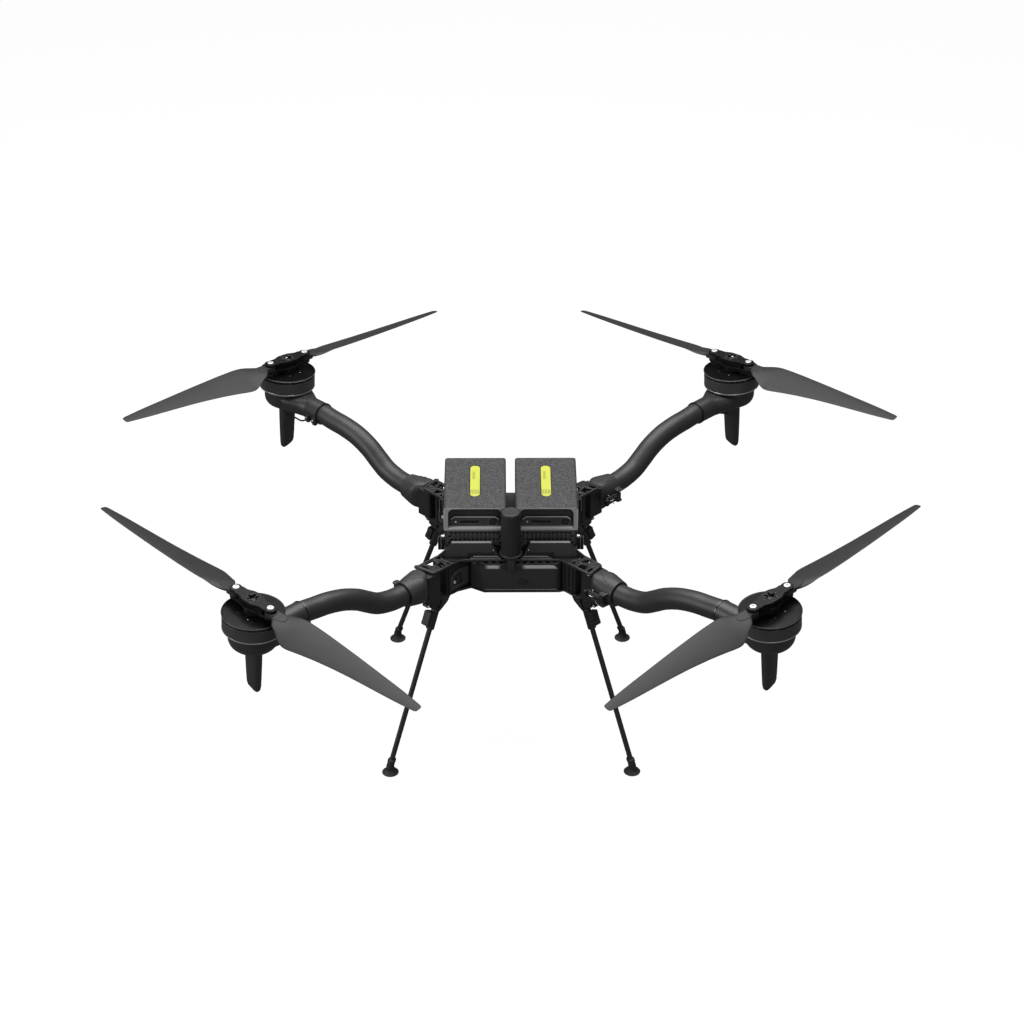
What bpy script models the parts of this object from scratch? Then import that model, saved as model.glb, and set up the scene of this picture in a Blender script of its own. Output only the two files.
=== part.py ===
"""A heavy-lift folding quadcopter, standing on its four legs, in metres with +Z up.

Every corner is drawn once in a corner frame: X runs outwards along the diagonal, Y is the
counter-clockwise side and Z is the height above the ground. The four corners are turned
copies, except that the rotors are mirrored from each corner to the next.
"""

import math

import bmesh
import bpy
from mathutils import Matrix, Vector

# Corners: name, turn of the corner frame, handedness of its rotor (1 spins counter-clockwise).
CORNERS = (
    ("front_left", 225, 1),
    ("front_right", -45, -1),
    ("rear_right", 45, 1),
    ("rear_left", 135, -1),
)
MOTOR_RADIUS = math.hypot(0.5, 0.5)  # from the craft's centre to each motor
PIVOT_HEIGHT = 0.602  # of the blade bolts above the ground
CANT = math.radians(3.6)  # each rotor leans about its boom
RUNNING_GAP = 0.0003

# Chassis plates and what lies between them.
PLATE = 0.005
UPPER_PLATE_TOP = 0.457
LOWER_PLATE_TOP = 0.387
UPPER_PLATE_UNDER = UPPER_PLATE_TOP - PLATE
CHASSIS_MIDDLE = (UPPER_PLATE_UNDER + LOWER_PLATE_TOP) / 2
ARM_HALF_WIDTH = 0.0225
LOWER_ARM = ((0.1780, -0.0225), (0.2215, -0.0235), (0.2470, -0.0060), (0.2470, 0.0190), (0.1780, 0.0225))
LOWER_NOSE = ((-0.083, -0.129), (-0.056, -0.146), (0.103, -0.146))
BAY_SIDE = 0.132  # from the middle of the craft to the bay's sides and back
BAY_CHAMFER = 0.030
BAY_CHANNEL_END = 0.122
BAY_NOSE = ((-0.083, -0.128), (-0.056, -0.145), (0.103, -0.145))
BAY_WALL = 0.003
BLOCK_OUTER_END = 0.2095
BLOCK_GROOVES = 4

# Boom hinge: a vertical pin at the counter-clockwise side of each chassis corner.
PIN = Vector((0.236, 0.012, CHASSIS_MIDDLE))
PIN_RADIUS = 0.004
PIN_CLEARANCE = 0.0004

# Boom latch: the lever's own pin, and how far its two ears stand from the middle of the lever.
LATCH_PIN = Vector((0.3000, -0.0370, 0.4220))
LATCH_PIN_RADIUS = 0.0015
EAR_OFFSET = 0.0125

# Boom: a bent tube whose middle line is given by distance out and height.
TUBE_RADIUS = 0.0225
BOOM_ENDS = (0.3140, 0.5827)
BOOM_LINE = (
    (0.3200, 0.4260),
    (0.3515, 0.4290),
    (0.3850, 0.4380),
    (0.4120, 0.4540),
    (0.4400, 0.4720),
    (0.4770, 0.4880),
    (0.5160, 0.4970),
    (0.5500, 0.5005),
    (0.5767, 0.5040),
)
SIDE_SHIFT_START = 0.440
BOOM_AXIS_DROP = 0.0982  # of the motor mount's sleeve below the blade bolts

# Motor, measured from the plane of the blade bolts down.
MOTOR_CAP_RADIUS = 0.0635
MOTOR_CAP_TOP = -0.035
BELL_RADIUS = 0.0615
BELL_BOTTOM = -0.073
HOUSING_RADIUS = 0.051
HOUSING_BOTTOM = -0.118
SLEEVE_RADIUS = 0.0246
# Fin sections: height, half width, half thickness. The last one slopes up by FIN_SLOPE.
FIN_SECTIONS = (
    (-0.105, 0.0195, 0.0115),
    (-0.150, 0.0185, 0.0100),
    (-0.195, 0.0165, 0.0085),
)
FIN_END = (-0.225, 0.0140, 0.0065)
FIN_SLOPE = 0.0120

# Propeller.
PROP_RADIUS = 0.457
BLADE_PIVOT = 0.0485
PROP_LINE = math.radians(87.6)  # how far the parked propeller stands from its boom
TONGUE_MIDDLE = -0.01475
TONGUE_THICKNESS = 0.0105
TONGUE_RADIUS = 0.0113
TONGUE_CLEARANCE = 0.0004
CHEEK = 0.0056  # thickness of each side of the hub's forks
FORK_RADIUS = 0.0120
# Blade sections: distance from the motor axis, leading edge, trailing edge, thickness.
BLADE_SECTIONS = (
    (0.0622, 0.0110, -0.0110, 0.0085),
    (0.0665, 0.0125, -0.0135, 0.0085),
    (0.0780, 0.0170, -0.0250, 0.0080),
    (0.0950, 0.0220, -0.0330, 0.0070),
    (0.1150, 0.0252, -0.0445, 0.0064),
    (0.1350, 0.0265, -0.0492, 0.0058),
    (0.1750, 0.0250, -0.0430, 0.0050),
    (0.2150, 0.0222, -0.0373, 0.0044),
    (0.2700, 0.0178, -0.0318, 0.0038),
    (0.3300, 0.0122, -0.0282, 0.0032),
    (0.4000, 0.0052, -0.0246, 0.0026),
    (0.4550, -0.0020, -0.0205, 0.0018),
)
ROOT_PITCH = math.radians(19)
TIP_PITCH = math.radians(12)

# Batteries: two packs side by side on a tray.
BATTERY_WIDTH = 0.127
BATTERY_LENGTH = 0.212
BATTERY_GAP = 0.019
BATTERY_TOP = 0.561
BATTERY_BOTTOM = 0.4725
RECESS_WIDTH = 0.113
RECESS_DEPTH = 0.012
RECESS_BOTTOM = 0.515
RECESS_TOP = 0.5575
PANEL_TOP = 0.538
PANEL_PROUD = 0.0045  # of the recess's back
BUTTON_RADIUS = 0.008
BUTTON_THICKNESS = 0.0040
BUTTON_SET_BACK = 0.0008  # of the button's face behind the panel's
BUTTON_WELL = 0.0065
BUTTON_SIDE = 0.038
BUTTON_HEIGHT = 0.5265
TRAY_HALF_WIDTH = 0.139
TRAY_FRONT = -0.122
TRAY_BACK = 0.112
RAMP_TOP = 0.490

# Antenna mast in front of the packs.
MAST_Y = -0.130
MAST_RADIUS = 0.0207
MAST_BOTTOM = 0.473
MAST_TOP = 0.569
MAST_COLLAR_RADIUS = 0.024

# Legs.
LEG_RADIUS = 0.0055
LEG_UPPER = Vector((0.2265, 0, 0.3420))
LEG_LOWER = Vector((0.3585, 0, 0.0290))
LEG_AXIS = (LEG_LOWER - LEG_UPPER).normalized()
SOCKET_RADIUS = 0.009
FOOT_CENTRE = 0.363
FOOT_RADIUS = 0.0175
FOOT_COLLAR_RADIUS = 0.0085
FOOT_TOP = 0.037


# Building blocks


def clear_scene():
    for obj in list(bpy.data.objects):
        bpy.data.objects.remove(obj, do_unlink=True)


def new_collection(name):
    collection = bpy.data.collections.new(name)
    bpy.context.scene.collection.children.link(collection)
    return collection


def finish(name, colour, roughness, metallic=0.0):
    """A Principled material of one colour."""
    material = bpy.data.materials.new(name)
    material.use_nodes = True
    shader = material.node_tree.nodes["Principled BSDF"]
    shader.inputs["Base Color"].default_value = (*colour, 1)
    shader.inputs["Roughness"].default_value = roughness
    shader.inputs["Metallic"].default_value = metallic
    return material


def mesh_of(shape, name):
    mesh = bpy.data.meshes.new(name)
    bmesh.ops.recalc_face_normals(shape, faces=shape.faces)
    shape.to_mesh(mesh)
    shape.free()
    return mesh


def evaluated(obj, name):
    """The object's mesh with its modifiers, or its curve filled, as a mesh of its own; the object goes."""
    bpy.context.view_layer.update()
    graph = bpy.context.evaluated_depsgraph_get()
    mesh = bpy.data.meshes.new_from_object(obj.evaluated_get(graph))
    mesh.name = name
    bpy.data.objects.remove(obj, do_unlink=True)
    return mesh


def scratch_object(data):
    obj = bpy.data.objects.new("scratch", data)
    obj.hide_render = True
    obj.display_type = "WIRE"
    cutters.objects.link(obj)
    return obj


def box(low, high, turn=None):
    """A box between two corners, turned about its middle."""
    low, high = Vector(low), Vector(high)
    place = Matrix.Translation((low + high) / 2) @ (turn or Matrix()) @ Matrix.Diagonal((*(high - low), 1))
    shape = bmesh.new()
    bmesh.ops.create_cube(shape, size=1, matrix=place)
    return mesh_of(shape, "box")


def rod(start, end, radius, end_radius=None, segments=20):
    """A round bar, or a cone, between two points."""
    start, end = Vector(start), Vector(end)
    axis = end - start
    turn = axis.to_track_quat("Z", "Y").to_matrix().to_4x4()
    shape = bmesh.new()
    bmesh.ops.create_cone(
        shape,
        cap_ends=True,
        segments=segments,
        radius1=radius,
        radius2=radius if end_radius is None else end_radius,
        depth=axis.length,
        matrix=Matrix.Translation((start + end) / 2) @ turn,
    )
    return mesh_of(shape, "rod")


def turned(profile, steps=24):
    """A profile of (radius, height) points, top to bottom, turned about Z."""
    mesh = bpy.data.meshes.new("turned")
    points = [(radius, 0, height) for radius, height in profile]
    mesh.from_pydata(points, [(i, i + 1) for i in range(len(points) - 1)], [])
    obj = scratch_object(mesh)
    screw = obj.modifiers.new("screw", "SCREW")
    screw.steps = screw.render_steps = steps
    screw.use_merge_vertices = True
    screw.merge_threshold = 0.00001
    return evaluated(obj, "turned")


def loft(rings):
    """A skin over rings of the same number of points, capped at both ends."""
    shape = bmesh.new()
    rows = [[shape.verts.new(point) for point in ring] for ring in rings]
    for row, following in zip(rows, rows[1:]):
        for i in range(len(row)):
            j = (i + 1) % len(row)
            shape.faces.new((row[i], row[j], following[j], following[i]))
    shape.faces.new(rows[0])
    shape.faces.new(rows[-1])
    return mesh_of(shape, "loft")


def rounded(outline, radius, steps=3):
    """The outline with each corner replaced by an arc of this radius."""
    points = []
    count = len(outline)
    for i in range(count):
        corner = Vector(outline[i])
        back = (Vector(outline[i - 1]) - corner).normalized()
        ahead = (Vector(outline[(i + 1) % count]) - corner).normalized()
        half = back.angle(ahead) / 2
        centre = corner + (back + ahead).normalized() * radius / math.sin(half)
        start = corner + back * radius / math.tan(half) - centre
        end = corner + ahead * radius / math.tan(half) - centre
        for step in range(steps + 1):
            points.append(centre + radius * start.slerp(end, step / steps))
    return points


def slab(outline, bottom, top, holes=()):
    """A flat plate between two heights, with holes through it."""
    curve = bpy.data.curves.new("slab", "CURVE")
    curve.dimensions = "2D"
    curve.fill_mode = "BOTH"
    curve.extrude = (top - bottom) / 2
    for points in (outline, *holes):
        spline = curve.splines.new("POLY")
        spline.points.add(len(points) - 1)
        for point, (x, y) in zip(spline.points, points):
            point.co = (x, y, 0, 1)
        spline.use_cyclic_u = True
    obj = scratch_object(curve)
    mesh = evaluated(obj, "slab")
    shape = bmesh.new()
    shape.from_mesh(mesh)
    bmesh.ops.remove_doubles(shape, verts=shape.verts, dist=0.00001)
    bmesh.ops.translate(shape, verts=shape.verts, vec=(0, 0, (top + bottom) / 2))
    return mesh_of(shape, "slab")


def tube(route, radius):
    """A round tube along a route of points."""
    curve = bpy.data.curves.new("tube", "CURVE")
    curve.dimensions = "3D"
    curve.bevel_depth = radius
    curve.bevel_resolution = 3
    curve.use_fill_caps = True
    spline = curve.splines.new("POLY")
    spline.points.add(len(route) - 1)
    for point, place in zip(spline.points, route):
        point.co = (*place, 1)
    mesh = evaluated(scratch_object(curve), "tube")
    shape = bmesh.new()
    shape.from_mesh(mesh)
    bmesh.ops.remove_doubles(shape, verts=shape.verts, dist=0.00001)
    return mesh_of(shape, "tube")


def smooth_line(points, per_span):
    """A Catmull-Rom curve through the points."""
    points = [Vector(point) for point in points]
    padded = [2 * points[0] - points[1], *points, 2 * points[-1] - points[-2]]
    route = []
    for before, a, b, after in zip(padded, padded[1:], padded[2:], padded[3:]):
        for step in range(per_span):
            t = step / per_span
            route.append(
                0.5
                * (
                    2 * a
                    + (b - before) * t
                    + (2 * before - 5 * a + 4 * b - after) * t**2
                    + (3 * a - before - 3 * b + after) * t**3
                )
            )
    return [*route, points[-1]]


def combined(body, joined=(), cut=()):
    """The body with other meshes joined to it and others cut from it."""
    obj = scratch_object(body)
    helpers = []
    for meshes, operation in ((joined, "UNION"), (cut, "DIFFERENCE")):
        for mesh in meshes:
            helper = scratch_object(mesh)
            boolean = obj.modifiers.new(operation.lower(), "BOOLEAN")
            boolean.operation = operation
            boolean.object = helper
            helpers.append(helper)
    mesh = evaluated(obj, "combined")
    for helper in helpers:
        bpy.data.objects.remove(helper, do_unlink=True)
    return mesh


def place(name, mesh, material, parent=None, local=None):
    """An object in the craft's collection, with its origin where its parent or its own matrix puts it."""
    mesh = mesh if not mesh.materials else mesh.copy()
    mesh.name = name
    mesh.materials.clear()
    mesh.materials.append(material)
    mesh.shade_smooth()
    mesh.set_sharp_from_angle(angle=math.radians(35))
    obj = bpy.data.objects.new(name, mesh)
    craft.objects.link(obj)
    obj.parent = parent
    obj.matrix_local = local or Matrix()
    return obj


def frame_at(name, parent=None, local=None):
    """An empty that carries the pieces of one moving body."""
    obj = bpy.data.objects.new(name, None)
    craft.objects.link(obj)
    obj.parent = parent
    obj.matrix_local = local or Matrix()
    return obj


def moved(mesh, offset):
    mesh.transform(Matrix.Translation(offset))
    return mesh


def out_from(degrees, points):
    """Points of one corner's frame, in the craft's frame."""
    turn = Matrix.Rotation(math.radians(degrees), 2)
    return [turn @ Vector(point) for point in points]


def around(points):
    """Corner-frame points repeated round the four corners, counter-clockwise."""
    return [point for _, degrees, _ in CORNERS for point in out_from(degrees, points)]


# Chassis


def upper_plate():
    """The top plate: a square with an arm to each corner, pierced like a truss."""
    arm = ((0.1718, -0.0235), (0.2553, -0.0247), (0.2468, 0.0222), (0.1718, 0.0235))
    windows = (
        ((0.1800, -0.0175), (0.2040, -0.0180), (0.1930, -0.0040)),
        ((0.1795, 0.0170), (0.1905, 0.0040), (0.2025, 0.0175)),
        ((0.2115, -0.0180), (0.2330, -0.0190), (0.2260, -0.0010), (0.2130, -0.0050)),
        ((0.2030, -0.0010), (0.2190, 0.0030), (0.2190, 0.0170), (0.2085, 0.0175)),
        ((0.2390, -0.0190), (0.2465, -0.0190), (0.2430, -0.0010), (0.2365, -0.0010)),
    )
    holes = []
    for window in windows:
        ring = around(window)
        size = len(window)
        holes += [rounded(ring[i : i + size], 0.001, 1) for i in range(0, len(ring), size)]
    return slab(rounded(around(arm), 0.006), UPPER_PLATE_UNDER, UPPER_PLATE_TOP, holes)


def bay_outline(wall=0.0):
    """The bay between the plates, drawn in by the wall: a lobe to each side and a channel to each corner."""
    end = BAY_CHANNEL_END + wall
    side = ARM_HALF_WIDTH + RUNNING_GAP + wall
    deep = BAY_SIDE - wall
    lobe = BAY_SIDE / 2 + 0.009
    shoulder = (deep - BAY_CHAMFER) * math.sqrt(2) - side
    left, middle, right = BAY_NOSE
    sides = {
        "front_left": [
            (left[0] + wall, left[1] + wall),
            (middle[0] + wall, middle[1] + wall),
            (right[0] - wall, right[1] + wall),
        ],
        "front_right": [(deep, -lobe), (deep, lobe)],
        "rear_right": [(lobe, deep), (-lobe, deep)],
        "rear_left": [(-deep, lobe), (-deep, -lobe)],
    }
    outline = []
    for name, degrees, _ in CORNERS:
        clockwise = 0.170 - wall if name == "front_right" else shoulder
        counter = 0.146 - wall if name == "front_left" else shoulder
        outline += out_from(degrees, [(clockwise, -side), (end, -side), (end, side), (counter, side)])
        outline += [Vector(point) for point in sides[name]]
    return outline


def electronics_bay():
    """An open tray for the electronics; the upper plate is its lid."""
    bottom = LOWER_PLATE_TOP + RUNNING_GAP
    top = UPPER_PLATE_UNDER - RUNNING_GAP
    hollow = slab(bay_outline(BAY_WALL), bottom + BAY_WALL, top + 0.01)
    return combined(slab(bay_outline(), bottom, top), cut=[hollow])


def flight_controller():
    """The controller's case, on the bay's floor."""
    floor = LOWER_PLATE_TOP + BAY_WALL + 2 * RUNNING_GAP
    return combined(
        box((-0.050, -0.045, floor), (0.050, 0.045, floor + 0.014)),
        joined=[box((-0.030, -0.025, floor + 0.010), (0.030, 0.025, floor + 0.024))],
    )


def front_port():
    """The oval cap over the service port in the bay's front."""
    obj = rod((0, 0, 0), (0, 0, 0.002), 0.0055, segments=20)
    obj.transform(Matrix.Diagonal((1.7, 1, 1, 1)))
    obj.transform(Matrix.Rotation(math.radians(90), 4, "X"))
    return moved(obj, (0.024, -0.1453, 0.408))


def lower_plate():
    """The bottom plate, with the four hinge pins standing on it."""
    outline = []
    for name, degrees, _ in CORNERS:
        outline += out_from(degrees, LOWER_ARM)
        if name == "front_left":
            outline += [Vector(point) for point in LOWER_NOSE]
    plate = slab(rounded(outline, 0.0035, 2), LOWER_PLATE_TOP - PLATE, LOWER_PLATE_TOP)
    pins = []
    for _, degrees, _ in CORNERS:
        foot = Matrix.Rotation(math.radians(degrees), 3, "Z") @ PIN
        low = (foot.x, foot.y, LOWER_PLATE_TOP - PLATE / 2)
        high = (foot.x, foot.y, UPPER_PLATE_UNDER - RUNNING_GAP)
        pins.append(rod(low, high, PIN_RADIUS, segments=12))
    return combined(plate, joined=pins)


def corner_block():
    """The block between the plates: a window in one side, ribs down the other."""
    inner, outer, half = BAY_CHANNEL_END + 0.0005, BLOCK_OUTER_END, ARM_HALF_WIDTH - 0.002
    bottom, top = LOWER_PLATE_TOP + RUNNING_GAP, UPPER_PLATE_UNDER - RUNNING_GAP
    body = box((inner, -half, bottom), (outer, half, top))
    window = box((0.168, half - 0.004, CHASSIS_MIDDLE - 0.013), (0.192, half + 0.01, CHASSIS_MIDDLE + 0.013))
    grooves = []
    for i in range(BLOCK_GROOVES):
        start = 0.156 + 0.0125 * i
        low, high = (start, -half - 0.01, bottom + 0.006), (start + 0.006, -half + 0.005, top - 0.006)
        grooves.append(box(low, high))
    return combined(body, cut=[window, *grooves])


# Boom


def squared_ring(out, low, high, middle, half_height, power):
    """A ring across the boom between two sides, from round (power 2) to nearly square."""
    centre, half_width = (low + high) / 2, (high - low) / 2
    ring = []
    for i in range(16):
        angle = math.tau * (i + 0.5) / 16
        c, s = math.cos(angle), math.sin(angle)
        y = centre + half_width * math.copysign(abs(c) ** (2 / power), c)
        z = middle + half_height * math.copysign(abs(s) ** (2 / power), s)
        ring.append((out, y, z))
    return ring


def boom_fitting():
    """The cast root of the boom: a tongue on the hinge pin that swells and narrows to the tube."""
    rings = [
        squared_ring(0.2565, -0.0245, 0.0150, 0.4245, 0.0322, 4),
        squared_ring(0.2660, -0.0300, 0.0235, 0.4255, 0.0318, 3.4),
        squared_ring(0.2770, -0.0310, 0.0305, 0.4258, 0.0315, 2.8),
        squared_ring(0.2920, -0.0305, 0.0305, 0.4257, 0.0305, 2.3),
        squared_ring(0.3060, -0.0290, 0.0290, 0.4258, 0.0288, 2),
        squared_ring(0.3137, -0.0275, 0.0275, 0.4260, 0.0275, 2),
    ]
    tongue = box(
        (PIN.x - 0.0105, -0.022, LOWER_PLATE_TOP + 0.0005),
        (0.2620, PIN.y + 0.0100, UPPER_PLATE_UNDER - 0.0005),
    )
    offset = Vector((0, 0, EAR_OFFSET))
    ears = [rod(LATCH_PIN - offset, LATCH_PIN + offset, LATCH_PIN_RADIUS, segments=8)]
    for height in (LATCH_PIN.z + EAR_OFFSET, LATCH_PIN.z - EAR_OFFSET):
        ears.append(box((0.2940, -0.0410, height - 0.002), (0.3060, -0.0200, height + 0.002)))
    pin_hole = rod((PIN.x, PIN.y, 0.36), (PIN.x, PIN.y, 0.48), PIN_RADIUS + PIN_CLEARANCE, segments=12)
    return moved(combined(loft(rings), joined=[tongue, *ears], cut=[pin_hole]), -PIN)


def boom_latch():
    """The lever on the fitting's clockwise side that locks the boom out."""
    arm = box((-0.0420, -0.0030, -0.0095), (0.0035, 0.0020, 0.0095))
    tip = box((-0.0470, -0.0075, -0.0075), (-0.0380, -0.0010, 0.0075))
    hole = rod((0, 0, -0.02), (0, 0, 0.02), LATCH_PIN_RADIUS + PIN_CLEARANCE, segments=8)
    return combined(arm, joined=[tip], cut=[hole])


def boom_tube(hand):
    """The bent tube; towards the motor it shifts sideways to meet the leaning motor mount."""
    shift = -hand * BOOM_AXIS_DROP * math.sin(CANT)
    span = BOOM_LINE[-1][0] - SIDE_SHIFT_START
    points = []
    for out, height in BOOM_LINE:
        t = min(max((out - SIDE_SHIFT_START) / span, 0), 1)
        points.append((out, shift * t * t * (3 - 2 * t), height))
    first, last = points[0], points[-1]
    route = [(BOOM_ENDS[0], *first[1:]), *smooth_line(points, 2), (BOOM_ENDS[1], *last[1:])]
    return moved(tube(route, TUBE_RADIUS), -PIN)


# Motor and propeller, in the rotor's frame: Z along its axis, zero at the blade bolts


def motor_mount(low_side):
    """The sleeve on the tube's end, the motor's lower housing and the fin under it, in one casting."""
    profile = (
        (0.0, BELL_BOTTOM - RUNNING_GAP),
        (HOUSING_RADIUS, BELL_BOTTOM - RUNNING_GAP),
        (HOUSING_RADIUS, -0.0980),
        (HOUSING_RADIUS - 0.0045, -0.1075),
        (0.036, -0.1145),
        (0.0, HOUSING_BOTTOM),
    )
    start = BOOM_ENDS[1] + RUNNING_GAP - MOTOR_RADIUS
    sleeve = rod((start, 0, -BOOM_AXIS_DROP), (-0.010, 0, -BOOM_AXIS_DROP), SLEEVE_RADIUS, segments=20)
    rings = []
    for height, half_width, half_thick in FIN_SECTIONS:
        rings.append(fin_ring(half_width, half_thick, height, height, low_side))
    height, half_width, half_thick = FIN_END
    rings.append(fin_ring(half_width, half_thick, height, height + FIN_SLOPE, low_side))
    return combined(turned(profile), joined=[sleeve, loft(rings)])


def fin_ring(half_width, half_thick, low, high, low_side):
    """An eight-sided ring of the fin, which may slope from its low side up to its other side."""
    chamfer = half_thick * 0.6
    ring = []
    for across, along in (
        (half_width, half_thick - chamfer),
        (half_width - chamfer, half_thick),
        (chamfer - half_width, half_thick),
        (-half_width, half_thick - chamfer),
        (-half_width, chamfer - half_thick),
        (chamfer - half_width, -half_thick),
        (half_width - chamfer, -half_thick),
        (half_width, chamfer - half_thick),
    ):
        share = (1 + low_side * across / half_width) / 2
        ring.append((along, across, high + (low - high) * share))
    return ring


def motor_bell():
    """The turning outer bell of the motor, with the cap disc that the hub stands on."""
    profile = (
        (0.0, MOTOR_CAP_TOP),
        (MOTOR_CAP_RADIUS - 0.001, MOTOR_CAP_TOP),
        (MOTOR_CAP_RADIUS, MOTOR_CAP_TOP - 0.0008),
        (MOTOR_CAP_RADIUS, MOTOR_CAP_TOP - 0.0025),
        (0.0560, MOTOR_CAP_TOP - 0.0025),
        (0.0560, MOTOR_CAP_TOP - 0.0065),
        (BELL_RADIUS, MOTOR_CAP_TOP - 0.0065),
        (BELL_RADIUS, BELL_BOTTOM + 0.004),
        (BELL_RADIUS - 0.001, BELL_BOTTOM),
        (0.0, BELL_BOTTOM),
    )
    return turned(profile)


def prop_hub():
    """The hub bar with a fork at each end; a pin through each fork carries a blade."""
    bottom = MOTOR_CAP_TOP + RUNNING_GAP
    reach = BLADE_PIVOT - 0.0125
    mouth_low = TONGUE_MIDDLE - TONGUE_THICKNESS / 2 - TONGUE_CLEARANCE
    mouth_high = TONGUE_MIDDLE + TONGUE_THICKNESS / 2 + TONGUE_CLEARANCE
    low_cheek = (mouth_low - CHEEK, mouth_low)
    high_cheek = (mouth_high, mouth_high + CHEEK)
    parts = [rod((0, 0, bottom), (0, 0, -0.020), 0.020, segments=16)]
    for side in (-1, 1):
        pivot = side * BLADE_PIVOT
        for low, high in (low_cheek, high_cheek):
            parts.append(rod((pivot, 0, low), (pivot, 0, high), FORK_RADIUS, segments=14))
            near, far = sorted((pivot, side * 0.030))
            parts.append(box((near, -0.0115, low), (far, 0.0115, high)))
        parts.append(rod((pivot, 0, low_cheek[0]), (pivot, 0, 0), 0.0030, segments=8))
        parts.append(rod((pivot, 0, high_cheek[1] - 0.001), (pivot, 0, 0), 0.0072, segments=10))
    bar = box((-reach, -0.0125, -0.0300), (reach, 0.0125, high_cheek[1] - 0.0002))
    return combined(bar, joined=parts)


def blade_ring(out, lead, trail, thickness, hand):
    """A thin wing section across the blade, pitched about the blade's own line."""
    grip = min(max((out - 0.062) / 0.060, 0), 1)
    pitch = ROOT_PITCH + (TIP_PITCH - ROOT_PITCH) * max(out - 0.12, 0) / (PROP_RADIUS - 0.12)
    pitch *= grip * grip * (3 - 2 * grip)
    ring = []
    for share, upper in ((0, 0), (0.2, 0.85), (0.6, 0.8), (1, 0), (0.6, -0.40), (0.2, -0.55)):
        across = lead + (trail - lead) * share
        height = thickness * upper * 0.62
        y = across * math.cos(pitch) - height * math.sin(pitch)
        z = across * math.sin(pitch) + height * math.cos(pitch)
        ring.append((out - BLADE_PIVOT, hand * y, TONGUE_MIDDLE + z))
    return ring


def blade(hand):
    """One folding blade with its round root tongue; its origin is on the blade's own pivot."""
    skin = loft([blade_ring(*section, hand) for section in BLADE_SECTIONS])
    half = TONGUE_THICKNESS / 2
    tongue = rod((0, 0, TONGUE_MIDDLE - half), (0, 0, TONGUE_MIDDLE + half), TONGUE_RADIUS, segments=14)
    neck = box((0, -0.0105, TONGUE_MIDDLE - half + 0.0002), (0.0165, 0.0105, TONGUE_MIDDLE + half - 0.0002))
    hole = rod((0, 0, -0.05), (0, 0, 0.05), 0.0036, segments=8)
    return combined(skin, joined=[neck, tongue], cut=[hole])


# Batteries and mast


def battery():
    """One pack: rounded, with a recess in its front that holds a raised panel."""
    half = BATTERY_WIDTH / 2
    front = -BATTERY_LENGTH / 2
    outline = rounded([(-half, front), (half, front), (half, -front), (-half, -front)], 0.007, 3)
    shape = bmesh.new()
    shape.from_mesh(slab(outline, BATTERY_BOTTOM, BATTERY_TOP))
    top_edges = [
        edge
        for edge in shape.edges
        if all(vert.co.z > BATTERY_TOP - 0.0001 for vert in edge.verts) and edge.is_manifold
        and any(abs(face.normal.z) < 0.5 for face in edge.link_faces)
    ]
    bmesh.ops.bevel(shape, geom=top_edges, offset=0.003, segments=2, affect="EDGES", profile=0.5)
    body = mesh_of(shape, "battery")
    opening = rounded(
        [
            (-RECESS_WIDTH / 2, RECESS_BOTTOM),
            (RECESS_WIDTH / 2, RECESS_BOTTOM),
            (RECESS_WIDTH / 2, RECESS_TOP),
            (-RECESS_WIDTH / 2, RECESS_TOP),
        ],
        0.009,
        3,
    )
    recess = slab(opening, -RECESS_DEPTH, 0.01)
    recess.transform(Matrix.Rotation(math.radians(90), 4, "X"))
    moved(recess, (0, front, 0))
    panel_face = front + RECESS_DEPTH - PANEL_PROUD
    panel = box(
        (-RECESS_WIDTH / 2 + 0.001, panel_face, RECESS_BOTTOM - 0.002),
        (RECESS_WIDTH / 2 - 0.001, front + RECESS_DEPTH + 0.002, PANEL_TOP),
    )
    well = rod(
        (BUTTON_SIDE, panel_face - 0.01, BUTTON_HEIGHT),
        (BUTTON_SIDE, panel_face + BUTTON_WELL, BUTTON_HEIGHT),
        BUTTON_RADIUS + 0.0005,
        segments=20,
    )
    return combined(combined(body, cut=[recess]), joined=[panel], cut=[well])


def battery_button():
    """The round power button, with its origin at the middle of its face."""
    return rod((0, 0, 0), (0, BUTTON_THICKNESS, 0), BUTTON_RADIUS, segments=20)


def battery_tray():
    """The tray under the packs, with a sloped guard in front of each pack and a notch for the mast."""
    outline = [
        (-TRAY_HALF_WIDTH, TRAY_FRONT),
        (-0.030, TRAY_FRONT),
        (-0.030, -0.102),
        (0.030, -0.102),
        (0.030, TRAY_FRONT),
        (TRAY_HALF_WIDTH, TRAY_FRONT),
        (TRAY_HALF_WIDTH, TRAY_BACK),
        (-TRAY_HALF_WIDTH, TRAY_BACK),
    ]
    bottom = UPPER_PLATE_TOP + RUNNING_GAP
    base = slab(rounded(outline, 0.003, 2), bottom, BATTERY_BOTTOM - RUNNING_GAP)
    guards = []
    for side in (-1, 1):
        low = [(0.0290, -0.1275), (0.1370, -0.1275), (0.1370, -0.1120), (0.0290, -0.1120)]
        high = [(0.0395, -0.1222), (0.1238, -0.1222), (0.1238, -0.1175), (0.0395, -0.1175)]
        rings = [
            [(side * x, y, bottom + 0.002) for x, y in low],
            [(side * x, y, RAMP_TOP) for x, y in high],
        ]
        guards.append(loft(rings))
    return combined(base, joined=guards)


def mast():
    """The closed antenna cylinder."""
    profile = (
        (0.0, MAST_TOP),
        (MAST_RADIUS - 0.003, MAST_TOP),
        (MAST_RADIUS, MAST_TOP - 0.003),
        (MAST_RADIUS, MAST_BOTTOM),
        (0.0, MAST_BOTTOM),
    )
    return moved(turned(profile, 28), (0, MAST_Y, 0))


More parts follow.
